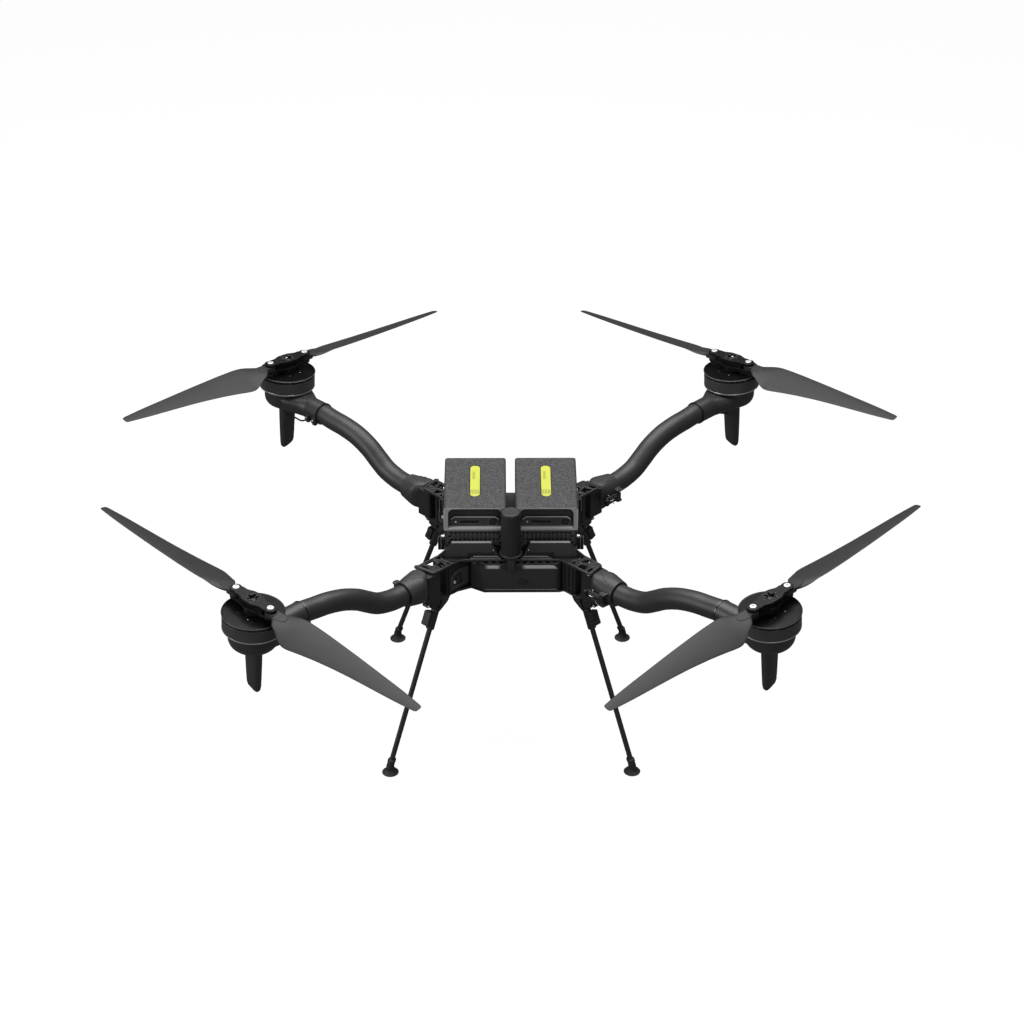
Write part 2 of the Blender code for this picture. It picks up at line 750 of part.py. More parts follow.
def mast_bracket():
    """The collar under the mast, with a boss on the upper plate and a foot down the bay's front."""
    top = MAST_BOTTOM - RUNNING_GAP
    collar = rod((0, MAST_Y, top - 0.005), (0, MAST_Y, top), MAST_COLLAR_RADIUS, segments=28)
    boss = box((-0.0100, -0.1370, UPPER_PLATE_TOP + RUNNING_GAP), (0.0100, -0.1160, top - 0.003))
    foot = box((-0.0100, -0.1510, UPPER_PLATE_TOP - 0.020), (0.0100, -0.1455, top - 0.003))
    return combined(collar, joined=[boss, foot])


# Legs


def leg_bracket():
    """The bracket under the corner: a socket along the leg, a brace inside it and a clamp outside it."""
    top = LOWER_PLATE_TOP - PLATE - RUNNING_GAP
    tilt = Matrix.Rotation(-math.atan2(LEG_AXIS.x, -LEG_AXIS.z), 4, "Y")
    flange = box((0.1720, -0.0150, top - 0.005), (0.2380, 0.0150, top))
    socket = rod(LEG_UPPER - LEG_AXIS * 0.036, LEG_UPPER + LEG_AXIS * 0.008, SOCKET_RADIUS, segments=16)
    brace = loft(
        [
            [(0.1760, y, top - 0.002), (0.2280, y, top - 0.002), (0.2300, y, 0.3420), (0.2200, y, 0.3400),
             (0.1900, y, 0.3580)]
            for y in (-0.0060, 0.0060)
        ]
    )
    middle = LEG_UPPER + LEG_AXIS * 0.012 + Vector((0.0134, 0, 0.0057))
    half = Vector((0.0075, 0.0095, 0.0160))
    clamp = box(middle - half, middle + half, tilt)
    neck = box((0.2180, -0.0085, 0.3600), (0.2440, 0.0085, top - 0.003))
    bore = rod(LEG_UPPER, LEG_UPPER + LEG_AXIS * 0.06, LEG_RADIUS + PIN_CLEARANCE, segments=14)
    return combined(flange, joined=[socket, brace, neck, clamp], cut=[bore])


def leg_tube():
    """The carbon tube of the leg, with its origin at its upper end."""
    return moved(rod(LEG_UPPER + LEG_AXIS * 0.0005, LEG_LOWER, LEG_RADIUS, segments=14), -LEG_UPPER)


def leg_foot():
    """The rubber foot: a collar on the tube that flares to a flat round base."""
    rings = []
    for height, radius in (
        (0.0, FOOT_RADIUS - 0.0015),
        (0.0015, FOOT_RADIUS),
        (0.0070, FOOT_RADIUS - 0.0005),
        (0.0120, 0.0125),
        (0.0190, FOOT_COLLAR_RADIUS),
        (FOOT_TOP, FOOT_COLLAR_RADIUS),
    ):
        on_axis = LEG_LOWER.x + (height - LEG_LOWER.z) * LEG_AXIS.x / LEG_AXIS.z
        centre = min(on_axis, FOOT_CENTRE)
        ring = []
        for i in range(16):
            angle = math.tau * i / 16
            ring.append((centre + radius * math.cos(angle), radius * math.sin(angle), height))
        rings.append(ring)
    low, high = LEG_LOWER + LEG_AXIS * 0.0004, LEG_LOWER - LEG_AXIS * 0.04
    hole = rod(low, high, LEG_RADIUS + PIN_CLEARANCE, segments=14)
    return moved(combined(loft(rings), cut=[hole]), -LEG_UPPER)


# Assembly


def build_chassis():
    for name, mesh, material in (
        ("upper_plate", upper_plate(), moulding),
        ("lower_plate", lower_plate(), moulding),
        ("electronics_bay", electronics_bay(), moulding),
        ("flight_controller", flight_controller(), board),
        ("front_port", front_port(), moulding),
        ("battery_tray", battery_tray(), moulding),
        ("mast", mast(), moulding),
        ("mast_bracket", mast_bracket(), moulding),
    ):
        place(name, mesh, material)


def build_batteries():
    pack, button = battery(), battery_button()
    offset = (BATTERY_WIDTH + BATTERY_GAP) / 2
    face = -BATTERY_LENGTH / 2 + RECESS_DEPTH - PANEL_PROUD + BUTTON_SET_BACK
    for name, x in (("left", -offset), ("right", offset)):
        lift = frame_at(f"battery_lift_{name}", local=Matrix.Translation((x, 0, 0)))
        place(f"battery_{name}", pack, pack_shell, lift)
        seat = Matrix.Translation((BUTTON_SIDE, face, BUTTON_HEIGHT))
        place(f"battery_button_{name}", button, moulding, lift, seat)


def build_corner(name, degrees, hand, shared):
    corner = Matrix.Rotation(math.radians(degrees), 4, "Z")
    low_side = 1 if name.endswith("left") else -1  # each fin is lowest towards the craft's front
    place(f"corner_block_{name}", shared["block"], moulding, local=corner)
    place(f"leg_bracket_{name}", shared["bracket"], moulding, local=corner)

    leg = frame_at(f"leg_{name}", local=corner @ Matrix.Translation(LEG_UPPER))
    place(f"leg_tube_{name}", shared["leg"], carbon, leg)
    place(f"leg_foot_{name}", shared["foot"], rubber, leg)

    boom = frame_at(f"boom_{name}", local=corner @ Matrix.Translation(PIN))
    place(f"boom_fitting_{name}", shared["fitting"], moulding, boom)
    place(f"boom_tube_{name}", shared["tube"][hand], carbon, boom)
    latch_seat = Matrix.Translation(LATCH_PIN - PIN)
    place(f"boom_latch_{name}", shared["latch"], moulding, boom, latch_seat)

    lean = Matrix.Rotation(-hand * CANT, 4, "X")
    seat = Matrix.Translation(Vector((MOTOR_RADIUS, 0, PIVOT_HEIGHT)) - PIN) @ lean
    place(f"motor_mount_{name}", shared["mount"][low_side], metal, boom, seat)
    rotor = frame_at(f"rotor_{name}", boom, seat)
    place(f"motor_bell_{name}", shared["bell"], metal, rotor)
    for blade_name, turn in (("a", 0), ("b", math.pi)):
        along = Matrix.Rotation(-hand * PROP_LINE + turn, 4, "Z")
        pivot = along @ Matrix.Translation((BLADE_PIVOT, 0, 0))
        place(f"blade_{blade_name}_{name}", shared["blade"][hand], composite, rotor, pivot)
    place(f"prop_hub_{name}", shared["hub"], moulding, rotor, Matrix.Rotation(-hand * PROP_LINE, 4, "Z"))


clear_scene()
craft = new_collection("quadcopter_drone")
cutters = new_collection("cutters")
moulding = finish("black_moulding", (0.022, 0.023, 0.024), 0.45)
carbon = finish("carbon_tube", (0.030, 0.031, 0.032), 0.50)
metal = finish("black_metal", (0.018, 0.018, 0.019), 0.38, 0.6)
composite = finish("blade_composite", (0.075, 0.076, 0.078), 0.48)
pack_shell = finish("pack_shell", (0.055, 0.056, 0.058), 0.60)
rubber = finish("foot_rubber", (0.015, 0.015, 0.016), 0.75)
board = finish("controller_case", (0.040, 0.042, 0.045), 0.50)
build_chassis()
build_batteries()
shared_meshes = {
    "block": corner_block(),
    "bracket": leg_bracket(),
    "leg": leg_tube(),
    "foot": leg_foot(),
    "fitting": boom_fitting(),
    "latch": boom_latch(),
    "tube": {hand: boom_tube(hand) for hand in (-1, 1)},
    "mount": {low_side: motor_mount(low_side) for low_side in (-1, 1)},
    "bell": motor_bell(),
    "hub": prop_hub(),
    "blade": {hand: blade(hand) for hand in (-1, 1)},
}
for corner_name, corner_degrees, corner_hand in CORNERS:
    build_corner(corner_name, corner_degrees, corner_hand, shared_meshes)
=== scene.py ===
import math

import bmesh
import bpy
import numpy as np
from mathutils import Matrix, Vector
from mathutils.geometry import tessellate_polygon


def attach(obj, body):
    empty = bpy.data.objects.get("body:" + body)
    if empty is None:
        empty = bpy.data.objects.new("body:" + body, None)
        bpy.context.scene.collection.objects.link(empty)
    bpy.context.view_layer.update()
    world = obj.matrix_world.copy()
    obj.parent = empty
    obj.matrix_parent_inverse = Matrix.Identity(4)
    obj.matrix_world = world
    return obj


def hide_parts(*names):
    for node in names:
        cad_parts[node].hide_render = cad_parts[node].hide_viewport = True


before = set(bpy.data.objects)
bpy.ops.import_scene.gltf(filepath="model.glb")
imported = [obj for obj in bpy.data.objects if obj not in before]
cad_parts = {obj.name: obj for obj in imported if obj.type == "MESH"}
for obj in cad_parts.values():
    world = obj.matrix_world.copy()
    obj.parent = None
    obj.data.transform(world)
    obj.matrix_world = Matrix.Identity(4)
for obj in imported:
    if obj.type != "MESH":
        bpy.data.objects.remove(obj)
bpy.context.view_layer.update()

# Upper plate: one black glass-filled nylon moulding, pierced like a truss over each corner and
# stiffened by ribs. It is the lid of the electronics bay and is screwed down at every corner.


class Link:
    """A socket inside a finish; arithmetic on it adds the nodes."""

    def __init__(self, finish, socket):
        self.finish, self.socket = finish, socket

    def maths(self, operation, *values):
        return self.finish.node("Math", {"operation": operation}, dict(enumerate(values)))

    def __add__(self, other):
        return self.maths("ADD", self, other)

    def __sub__(self, other):
        return self.maths("SUBTRACT", self, other)

    def __rsub__(self, other):
        return self.maths("SUBTRACT", other, self)

    def __mul__(self, other):
        return self.maths("MULTIPLY", self, other)

    __radd__, __rmul__ = __add__, __mul__


class Finish:
    """One surface finish: a Principled shader and what varies over it."""

    def __init__(self, name, roughness=0.5, metallic=0.0, coat=0.0):
        self.material = bpy.data.materials.new(name)
        self.material.use_nodes = True
        self.shader = self.material.node_tree.nodes["Principled BSDF"]
        self.shader.inputs["Roughness"].default_value = roughness
        self.shader.inputs["Metallic"].default_value = metallic
        self.shader.inputs["Coat Weight"].default_value = coat
        self.shader.inputs["Coat Roughness"].default_value = 0.2

    def feed(self, socket, value):
        if isinstance(value, Link):
            self.material.node_tree.links.new(value.socket, socket)
        else:
            socket.default_value = value

    def node(self, kind, settings=None, sockets=None, out=0):
        made = self.material.node_tree.nodes.new("ShaderNode" + kind)
        for name, value in (settings or {}).items():
            setattr(made, name, value)
        for name, value in (sockets or {}).items():
            self.feed(made.inputs[name], value)
        return Link(self, made.outputs[out])

    def place(self, stretch=(1, 1, 1)):
        """Where a point is on its own piece, with each axis scaled."""
        spot = self.node("TexCoord", out="Object")
        return self.node("VectorMath", {"operation": "MULTIPLY"}, {0: spot, 1: stretch})

    def noise(self, size, stretch=(1, 1, 1), detail=2.0):
        sockets = {"Vector": self.place(stretch), "Scale": 1 / size, "Detail": detail}
        return self.node("TexNoise", sockets=sockets)

    def between(self, value, low, high, start=0.0, end=1.0):
        settings = {"interpolation_type": "SMOOTHSTEP"}
        numbers = {"Value": value, "From Min": low, "From Max": high, "To Min": start, "To Max": end}
        return self.node("MapRange", settings, numbers)

    def mixed(self, share, first, second):
        colours = [c if isinstance(c, Link) else (*c, 1) for c in (first, second)]
        return self.node("Mix", {"data_type": "RGBA"}, {0: share, 6: colours[0], 7: colours[1]}, out=2)

    def colour(self, value):
        self.feed(self.shader.inputs["Base Color"], value if isinstance(value, Link) else (*value, 1))

    def roughness(self, value):
        self.feed(self.shader.inputs["Roughness"], value)

    def relief(self, height, depth):
        bump = self.node("Bump", sockets={"Height": height, "Distance": depth, "Strength": 1.0})
        self.feed(self.shader.inputs["Normal"], bump)


def moulded(name, colour, roughness, grain=0.0007, depth=0.00003, coat=0.0):
    """Moulded plastic: a fine spark-eroded grain, faint flow marks and handling dust."""
    finish = Finish(name, roughness, coat=coat)
    grains, flow = finish.noise(grain), finish.noise(0.035, detail=4.0)
    dust = finish.between(finish.noise(0.006, detail=5.0), 0.60, 0.78)
    dark, light = [c * 0.86 for c in colour], [c * 1.16 + 0.002 for c in colour]
    body = finish.mixed(flow, dark, light)
    finish.colour(finish.mixed(dust * 0.10, body, [c + 0.03 for c in colour]))
    finish.roughness(roughness - 0.05 + flow * 0.10 + dust * 0.08)
    finish.relief(grains, depth)
    return finish.material


nylon = moulded("black_nylon", (0.0105, 0.0108, 0.0112), 0.42)
# A lighter copy of the black nylon for ribs, rails and raised edges: painted highlight, standing for light
# caught on them.
nylon_highlight = moulded("nylon_ribs_painted_highlight", (0.027, 0.0276, 0.028), 0.36)


def skin(points, faces, material):
    return [(np.asarray(points, float).reshape(-1, 3), faces, material)]


def at(form, matrix):
    """The form's skins, moved by a matrix."""
    turn, shift = np.array(matrix)[:3, :3], np.array(matrix)[:3, 3]
    return [(points @ turn.T + shift, faces, material) for points, faces, material in form]


def loft(rings, material, closed=True):
    """A skin over rings of points, capped at both ends when closed."""
    count = len(rings[0])
    points = [p for ring in rings for p in ring]
    faces = []
    for row in range(len(rings) - 1):
        for i in range(count):
            a, b = row * count + i, row * count + (i + 1) % count
            faces.append((a, b, b + count, a + count))
    if closed:
        faces.append(tuple(range(count)))
        faces.append(tuple(range(len(points) - count, len(points))))
    return skin(points, faces, material)


def rounded(outline, radius, steps=4):
    """The outline with an arc at each corner; the radius may differ from corner to corner."""
    points = []
    for i, corner in enumerate(outline):
        corner = Vector(corner)
        back = (Vector(outline[i - 1]) - corner).normalized()
        ahead = (Vector(outline[(i + 1) % len(outline)]) - corner).normalized()
        size = radius[i] if isinstance(radius, (list, tuple)) else radius
        half = back.angle(ahead) / 2
        centre = corner + (back + ahead).normalized() * size / math.sin(half)
        start = corner + back * size / math.tan(half) - centre
        end = corner + ahead * size / math.tan(half) - centre
        points += [centre + size * start.slerp(end, step / steps) for step in range(steps + 1)]
    return points


def inset(outline, distance):
    """The outline moved to its left by a distance."""
    moved = []
    for i, point in enumerate(outline):
        into = (point - outline[i - 1]).normalized()
        out = (outline[(i + 1) % len(outline)] - point).normalized()
        first, second = Vector((-into.y, into.x)), Vector((-out.y, out.x))
        moved.append(point + (first + second) * distance / max(1 + first.dot(second), 0.4))
    return moved


def plate(outline, bottom, top, material, holes=(), edge=0.0006, steps=2):
    """A flat plate with holes, all its edges rounded."""
    loops = []
    for number, loop in enumerate((outline, *holes)):
        loop = [Vector(p[:2]) for p in loop]
        area = sum(a.x * b.y - b.x * a.y for a, b in zip(loop, loop[1:] + loop[:1]))
        loops.append(loop if (area > 0) == (number == 0) else loop[::-1])
    levels = []
    for step in range(steps + 1):
        turn = math.pi / 2 * step / steps
        levels.append((edge * (1 - math.sin(turn)), bottom + edge * (1 - math.cos(turn))))
    levels += [(shrink, bottom + top - height) for shrink, height in reversed(levels)]
    points, faces, starts = [], [], []
    for loop in loops:
        starts.append(len(points))
        for shrink, height in levels:
            points += [(p.x, p.y, height) for p in inset(loop, shrink)]
        for row in range(len(levels) - 1):
            for i in range(len(loop)):
                a = starts[-1] + row * len(loop) + i
                b = starts[-1] + row * len(loop) + (i + 1) % len(loop)
                faces.append((a, b, b + len(loop), a + len(loop)))
    for level in (0, len(levels) - 1):
        flat, edges = [], []
        for start, loop in zip(starts, loops):
            numbers = range(start + level * len(loop), start + (level + 1) * len(loop))
            flat += numbers
            edges.append([Vector(points[i]) for i in numbers])
        faces += [tuple(flat[i] for i in triangle) for triangle in tessellate_polygon(edges)]
    return skin(points, faces, material)


def block(low, high, material, edge=0.0008):
    """A box with rounded edges."""
    corners = ((low[0], low[1]), (high[0], low[1]), (high[0], high[1]), (low[0], high[1]))
    return plate(rounded(corners, edge * 1.01, 2), low[2], high[2], material, edge=edge)


def sweep(route, radius, material, sides=10, flat=1.0, edge=0.0):
    """A round bar along a route, with its end edges chamfered."""
    route = [Vector(p) for p in route]
    radii = list(radius) if isinstance(radius, (list, tuple)) else [radius] * len(route)
    if edge:
        first, last = (route[0] - route[1]).normalized(), (route[-1] - route[-2]).normalized()
        route = [route[0], route[0] - first * edge, *route[1:-1], route[-1] - last * edge, route[-1]]
        radii = [radii[0] - edge, radii[0], *radii[1:-1], radii[-1], radii[-1] - edge]
    rings = []
    along = (route[1] - route[0]).normalized()
    side = along.orthogonal() if abs(along.z) > 0.9 else along.cross(Vector((0, 0, 1)))
    for i, point in enumerate(route):
        ahead = (route[min(i + 1, len(route) - 1)] - route[max(i - 1, 0)]).normalized()
        side = (side - ahead * side.dot(ahead)).normalized()
        up = side.cross(ahead)
        ring = []
        for k in range(sides):
            angle = math.tau * (k + 0.5) / sides
            ring.append(point + radii[i] * (side * math.cos(angle) + up * math.sin(angle) * flat))
        rings.append(ring)
    return loft(rings, material)


def turned(profile, material, steps=72, closed=True):
    """A profile of (radius, height) points turned about Z."""
    rings = []
    for radius, height in profile:
        turns = [math.tau * k / steps for k in range(steps)]
        rings.append([(radius * math.cos(t), radius * math.sin(t), height) for t in turns])
    return loft(rings, material, closed)


def knit(name, form):
    """One mesh from a form's skins, smooth but for its true edges."""
    shape, materials = bmesh.new(), []
    for points, faces, material in form:
        if material not in materials:
            materials.append(material)
        verts = [shape.verts.new(p) for p in points]
        made = [shape.faces.new([verts[i] for i in face]) for face in faces]
        for face in made:
            face.material_index = materials.index(material)
            face.smooth = True
        bmesh.ops.recalc_face_normals(shape, faces=made)
    mesh = bpy.data.meshes.new(name)
    shape.to_mesh(mesh)
    shape.free()
    for material in materials:
        mesh.materials.append(material)
    mesh.set_sharp_from_angle(angle=math.radians(48))
    return mesh


def fit(name, form, body, place=None, nodes=()):
    """Puts a piece on its body, in place of the CAD nodes that it stands for."""
    mesh = form if isinstance(form, bpy.types.Mesh) else knit(name, form)
    piece = bpy.data.objects.new(name, mesh)
    bpy.context.scene.collection.objects.link(piece)
    piece.matrix_world = place or Matrix()
    weighted = piece.modifiers.new("even_shading", "WEIGHTED_NORMAL")
    weighted.keep_sharp = True
    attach(piece, body)
    if nodes:
        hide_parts(*nodes)
    return piece


# Corners in order: name, turn of the corner's own frame (X outwards), handedness of its rotor.
corners = (("front_left", 225, 1), ("front_right", -45, -1), ("rear_right", 45, 1), ("rear_left", 135, -1))


def corner_turn(degrees):
    return Matrix.Rotation(math.radians(degrees), 4, "Z")


def around(points):
    """Corner points repeated round the craft."""
    return [(corner_turn(turn) @ Vector((*p, 0))).to_2d() for _, turn, _ in corners for p in points]


upper_top, upper_under = 0.457, 0.452
lower_top, lower_under = 0.387, 0.382
arm = ((0.1718, -0.0235), (0.2440, -0.0245), (0.2500, -0.0300), (0.2570, -0.0300), (0.2468, 0.0222),
       (0.1718, 0.0235))
arm_rounding = (0.006, 0.003, 0.003, 0.0045, 0.006, 0.006)
windows = (
    ((0.1800, -0.0175), (0.2040, -0.0180), (0.1930, -0.0040)),
    ((0.1795, 0.0170), (0.1905, 0.0040), (0.2025, 0.0175)),
    ((0.2115, -0.0180), (0.2330, -0.0190), (0.2260, -0.0010), (0.2130, -0.0050)),
    ((0.2030, -0.0010), (0.2190, 0.0030), (0.2190, 0.0170), (0.2085, 0.0175)),
    ((0.2390, -0.0190), (0.2465, -0.0190), (0.2430, -0.0010), (0.2365, -0.0010)),
)
openings = []
for window in windows:
    ring = around(window)
    openings += [rounded(ring[i : i + len(window)], 0.0015, 3) for i in range(0, len(ring), len(window))]
upper_plate = plate(rounded(around(arm), arm_rounding * 4, 6), upper_under, upper_top, nylon, openings,
                    edge=0.0011)
rim = rounded(((0.1900, -0.0216), (0.2532, -0.0224), (0.2450, 0.0202), (0.1900, 0.0215)), 0.006, 5)
rim_path = [(p.x, p.y, upper_top) for p in rim[6:18]]
rib_lines = (
    ((0.1900, -0.0205), (0.1970, -0.0020), (0.1900, 0.0205)),
    ((0.1985, -0.0030), (0.2080, -0.0190), (0.2092, -0.0215)),
    ((0.1975, 0.0010), (0.2060, 0.0190), (0.2065, 0.0208)),
    ((0.2000, -0.0030), (0.2110, -0.0020), (0.2235, 0.0025), (0.2330, 0.0190)),
    ((0.2230, 0.0020), (0.2300, -0.0020), (0.2360, -0.0200)),
    ((0.2330, 0.0015), (0.2410, 0.0040), (0.2450, 0.0060)),
)
ribs = sweep([(0.1880, -0.0216, upper_top), *rim_path, (0.1880, 0.0215, upper_top)], 0.0021, nylon_highlight, 10)
for line in rib_lines:
    ribs += sweep([(x, y, upper_top) for x, y in line], 0.0015, nylon_highlight, 8)
ribs += sweep([(0.2500, -0.0170, upper_top - 0.0005), (0.2448, 0.0150, upper_top - 0.0005)], 0.0018,
              nylon_highlight, 8)
lip = rounded(((0.2478, -0.0235), (0.2552, -0.0240), (0.2480, 0.0130), (0.2440, 0.0125)), 0.0012, 3)
ribs += plate(lip, upper_top - 0.0004, upper_top + 0.0026, nylon_highlight, edge=0.0008)
for _, turn, _ in corners:
    upper_plate += at(ribs, corner_turn(turn))
for quarter in range(4):
    rail = sweep([(-0.100, -0.1362, upper_top), (0.100, -0.1362, upper_top)], 0.0014, nylon_highlight, 8)
    upper_plate += at(rail, corner_turn(90 * quarter))
for number in range(11):
    x = -0.080 + number * 0.016
    upper_plate += block((x, -0.1445, 0.4482), (x + 0.0085, -0.1370, 0.4535), nylon, 0.0006)
fit("top_plate", upper_plate, "chassis", nodes=("upper_plate",))

# Lower plate: the matching black nylon floor plate, with a rounded lip round its edge. Four steel
# hinge pins are moulded into it, one at each corner, for the booms to turn on.
steel = Finish("bare_steel", 0.24, 1.0)
steel.colour(steel.mixed(steel.noise(0.0006, (1, 1, 8)), (0.52, 0.52, 0.53), (0.74, 0.74, 0.75)))
steel.relief(steel.noise(0.0004, (1, 1, 10)), 0.00001)
steel = steel.material
lower_arm = ((0.1780, -0.0225), (0.2215, -0.0235), (0.2470, -0.0060), (0.2470, 0.0190), (0.1780, 0.0225))
front_nose = ((-0.083, -0.129), (-0.056, -0.146), (0.103, -0.146))
ring = around(lower_arm)
lower_outline = [*ring[:5], *front_nose, *ring[5:]]
softness = [0.0035] * 5 + [0.003, 0.003, 0.014] + [0.0035] * 15
lower_plate = plate(rounded(lower_outline, softness, 5), lower_under, lower_top, nylon, edge=0.0014, steps=3)
pin_spot = Vector((0.236, 0.012, 0))
for _, turn, _ in corners:
    seat = corner_turn(turn) @ Matrix.Translation(pin_spot)
    pin = [(0.0036, 0.3865), (0.0040, 0.3869), (0.0040, 0.4510), (0.0034, 0.4516)]
    lower_plate += at(turned(pin, steel, 24), seat)
fit("floor_plate", lower_plate, "chassis", nodes=("lower_plate",))

# Electronics bay: a black moulded tray between the plates, with four channels for the corner
# blocks. Its nose is chamfered on one side, rounded on the other, and has a seal along its top,
# which carries two painted reflection patches.
bay_floor, bay_roof, bay_wall = 0.3873, 0.4517, 0.003
bay_nylon = moulded("bay_nylon", (0.0240, 0.0256, 0.0250), 0.42)


def bay_outline(grow):
    """The bay seen from above, drawn in by a distance, and the rounding of each corner."""
    end, side, deep = 0.122 + grow, 0.0228 + grow, 0.132 - grow
    shoulder = (deep - 0.030) * math.sqrt(2) - side
    between = {
        "front_left": [(-0.083 + grow, -0.128 + grow), (-0.056 + grow, -0.145 + grow),
                       (0.103 - grow, -0.145 + grow)],
        "front_right": [(deep, -0.075), (deep, 0.075)],
        "rear_right": [(0.075, deep), (-0.075, deep)],
        "rear_left": [(-deep, 0.075), (-deep, -0.075)],
    }
    outline, radii = [], []
    for name, turn, _ in corners:
        outer = 0.170 - grow if name == "front_right" else shoulder
        inner = 0.146 - grow if name == "front_left" else shoulder
        outline += [(corner_turn(turn) @ Vector(p)).to_2d() for p in
                    ((outer, -side, 0), (end, -side, 0), (end, side, 0), (inner, side, 0))]
        radii += [0.003, 0.0015, 0.0015, 0.003]
        outline += between[name]
        radii += [0.003, 0.006, 0.016] if name == "front_left" else [0.008, 0.008]
    return rounded(outline, radii, 6)


bay = plate(bay_outline(0.0), bay_floor, bay_roof, bay_nylon, [bay_outline(bay_wall)], edge=0.0009)
bay += plate(bay_outline(bay_wall - 0.0005), bay_floor, bay_floor + bay_wall, bay_nylon, edge=0.0003, steps=1)
# A pale grey line along the bay's lower front edge: painted highlight.
nose_lip_highlight = moulded("nose_lip_highlight", (0.160, 0.162, 0.163), 0.40)
nose_highlight_line = sweep([(-0.054, -0.1455, 0.3895), (0.096, -0.1455, 0.3895)], 0.0011, nose_lip_highlight, 8)
seal = Finish("nose_seal", 0.34, coat=0.3)
across, height = (seal.node("SeparateXYZ", sockets={0: seal.place()}, out=axis) for axis in "XZ")
# Two pale patches on the dark seal strip, at set places across it and near its top: painted reflections of
# the studio light.
left_reflection = seal.between(across, -0.056, -0.044) * seal.between(across, -0.030, -0.020, 1, 0)
right_reflection = seal.between(across, 0.020, 0.034)
painted_reflection = (left_reflection + right_reflection) * seal.between(height, 0.4385, 0.4435)
seal.colour(seal.mixed(painted_reflection, (0.014, 0.0145, 0.0145), (0.50, 0.505, 0.505)))
seal.relief(seal.noise(0.0009), 0.00002)
seal_strip = plate(rounded(((-0.0550, 0.4390), (0.0990, 0.4390), (0.0890, 0.4485), (-0.0550, 0.4485)), 0.001,
                           2),
                   0.1449, 0.1456, seal.material, edge=0.0003, steps=1)
facing_front = Matrix.Rotation(math.radians(90), 4, "X")
bay += at(seal_strip, facing_front) + nose_highlight_line
fit("bay_tray", bay, "chassis", nodes=("electronics_bay",))
controller_case = moulded("controller_case", (0.040, 0.042, 0.045), 0.5)
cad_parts["flight_controller"].data.materials.clear()
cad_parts["flight_controller"].data.materials.append(controller_case)

# Service port: an oval rubber cap pushed into the bay's nose, with a raised brow above it.
rubber = moulded("soft_rubber", (0.010, 0.0102, 0.0105), 0.62, grain=0.0011, depth=0.00006)


def oval(wide, high, count=28):
    turns = [math.tau * k / count for k in range(count)]
    return [Vector((wide * math.cos(t), high * math.sin(t))) for t in turns]


cap = plate(oval(0.0092, 0.0052), 0.0, 0.0018, rubber, edge=0.0006)
cap += plate(oval(0.0112, 0.0068), 0.0, 0.0012, nylon, [oval(0.0096, 0.0055)], edge=0.0004)
brow = [(0.0150 * math.cos(t), 0.0085 * math.sin(t) + 0.0015, 0.0) for t in np.linspace(0.5, math.pi - 0.5,
                                                                                        12)]
cap += sweep(brow, 0.0009, bay_nylon, 8)
port_seat = Matrix.Translation((0.024, -0.1453, 0.408)) @ facing_front
fit("port_cap", cap, "chassis", place=port_seat, nodes=("front_port",))

# Corner blocks: black nylon blocks bolted between the plates. One side has a grey cover with a
# window for the boom's cable plug, the other side is stiffened with five upright ribs.
plated = Finish("zinc_plate", 0.42, 0.45)
plated.colour(plated.mixed(plated.noise(0.0012), (0.66, 0.66, 0.67), (0.80, 0.80, 0.81)))
plated = plated.material
cover_grey = moulded("cover_grey", (0.040, 0.0408, 0.0415), 0.44)


def bolt(radius, height, material, socket=0.52):
    """A button-head bolt standing on Z 0, with a hexagon socket."""
    hexagon = []
    for k in range(24):
        turn = math.tau * k / 24
        reach = radius * socket * math.cos(math.pi / 6) / math.cos(turn % (math.pi / 3) - math.pi / 6)
        hexagon.append((reach * math.cos(turn), reach * math.sin(turn)))
    turns = [math.tau * k / 24 for k in range(24)]
    rings = []
    for share, level in ((1, 0), (1, 0.55), (0.93, 0.82), (0.80, 1.0)):
        rings.append([(radius * share * math.cos(t), radius * share * math.sin(t),
                       height * level) for t in turns])
    rings.append([(x, y, height) for x, y in hexagon])
    rings.append([(x, y, height * 0.35) for x, y in hexagon])
    return loft(rings, material)


block_half = 0.0205
block_body = block((0.1225, -block_half, 0.3873), (0.2095, block_half, 0.4517), nylon, 0.0010)
cover = [(0.1480, 0.3915), (0.1990, 0.3935), (0.1990, 0.4235), (0.1890, 0.4320), (0.1720, 0.4370),
         (0.1480, 0.4330)]
window = [(0.1640, 0.4000), (0.1925, 0.4020), (0.1915, 0.4240), (0.1690, 0.4275)]
ccw_side = Matrix(((1, 0, 0, 0), (0, 0, 1, 0), (0, 1, 0, 0), (0, 0, 0, 1)))
cover_plate = plate(rounded(cover, 0.0030, 4), block_half - 0.0010, block_half + 0.0024, cover_grey,
                    [rounded(window, 0.0020, 3)], edge=0.0008)
block_body += at(cover_plate, ccw_side)
plug = plate(rounded(((0.1680, 0.4060), (0.1790, 0.4060), (0.1790, 0.4200), (0.1680, 0.4200)), 0.0012, 3),
             block_half - 0.0010, block_half + 0.0009, nylon_highlight, edge=0.0005)
block_body += at(plug, ccw_side)
plug_screw = at(bolt(0.0036, 0.0024, plated), Matrix.Translation((0.1866, 0.4085, block_half - 0.0004)))
block_body += at(plug_screw, ccw_side)
block_body += block((0.2005, block_half - 0.001, 0.3880), (0.2050, block_half + 0.0026, 0.4510), nylon,
                    0.0008)
block_body += block((0.1400, block_half - 0.001, 0.3880), (0.1440, block_half + 0.0020, 0.4510), nylon,
                    0.0008)
for number in range(5):
    start = 0.1500 + 0.0122 * number
    low, high = (start, -block_half - 0.0024, 0.3880), (start + 0.0048, -block_half + 0.001, 0.4510)
    block_body += block(low, high, nylon, 0.0009)
block_body += block((0.1450, -block_half - 0.0014, 0.3950), (0.2080, -block_half + 0.001, 0.3985), nylon,
                    0.0006)
block_mesh = knit("corner_block", block_body)
for name, turn, _ in corners:
    fit(f"{name}_block", block_mesh, "chassis", corner_turn(turn), (f"corner_block_{name}",))

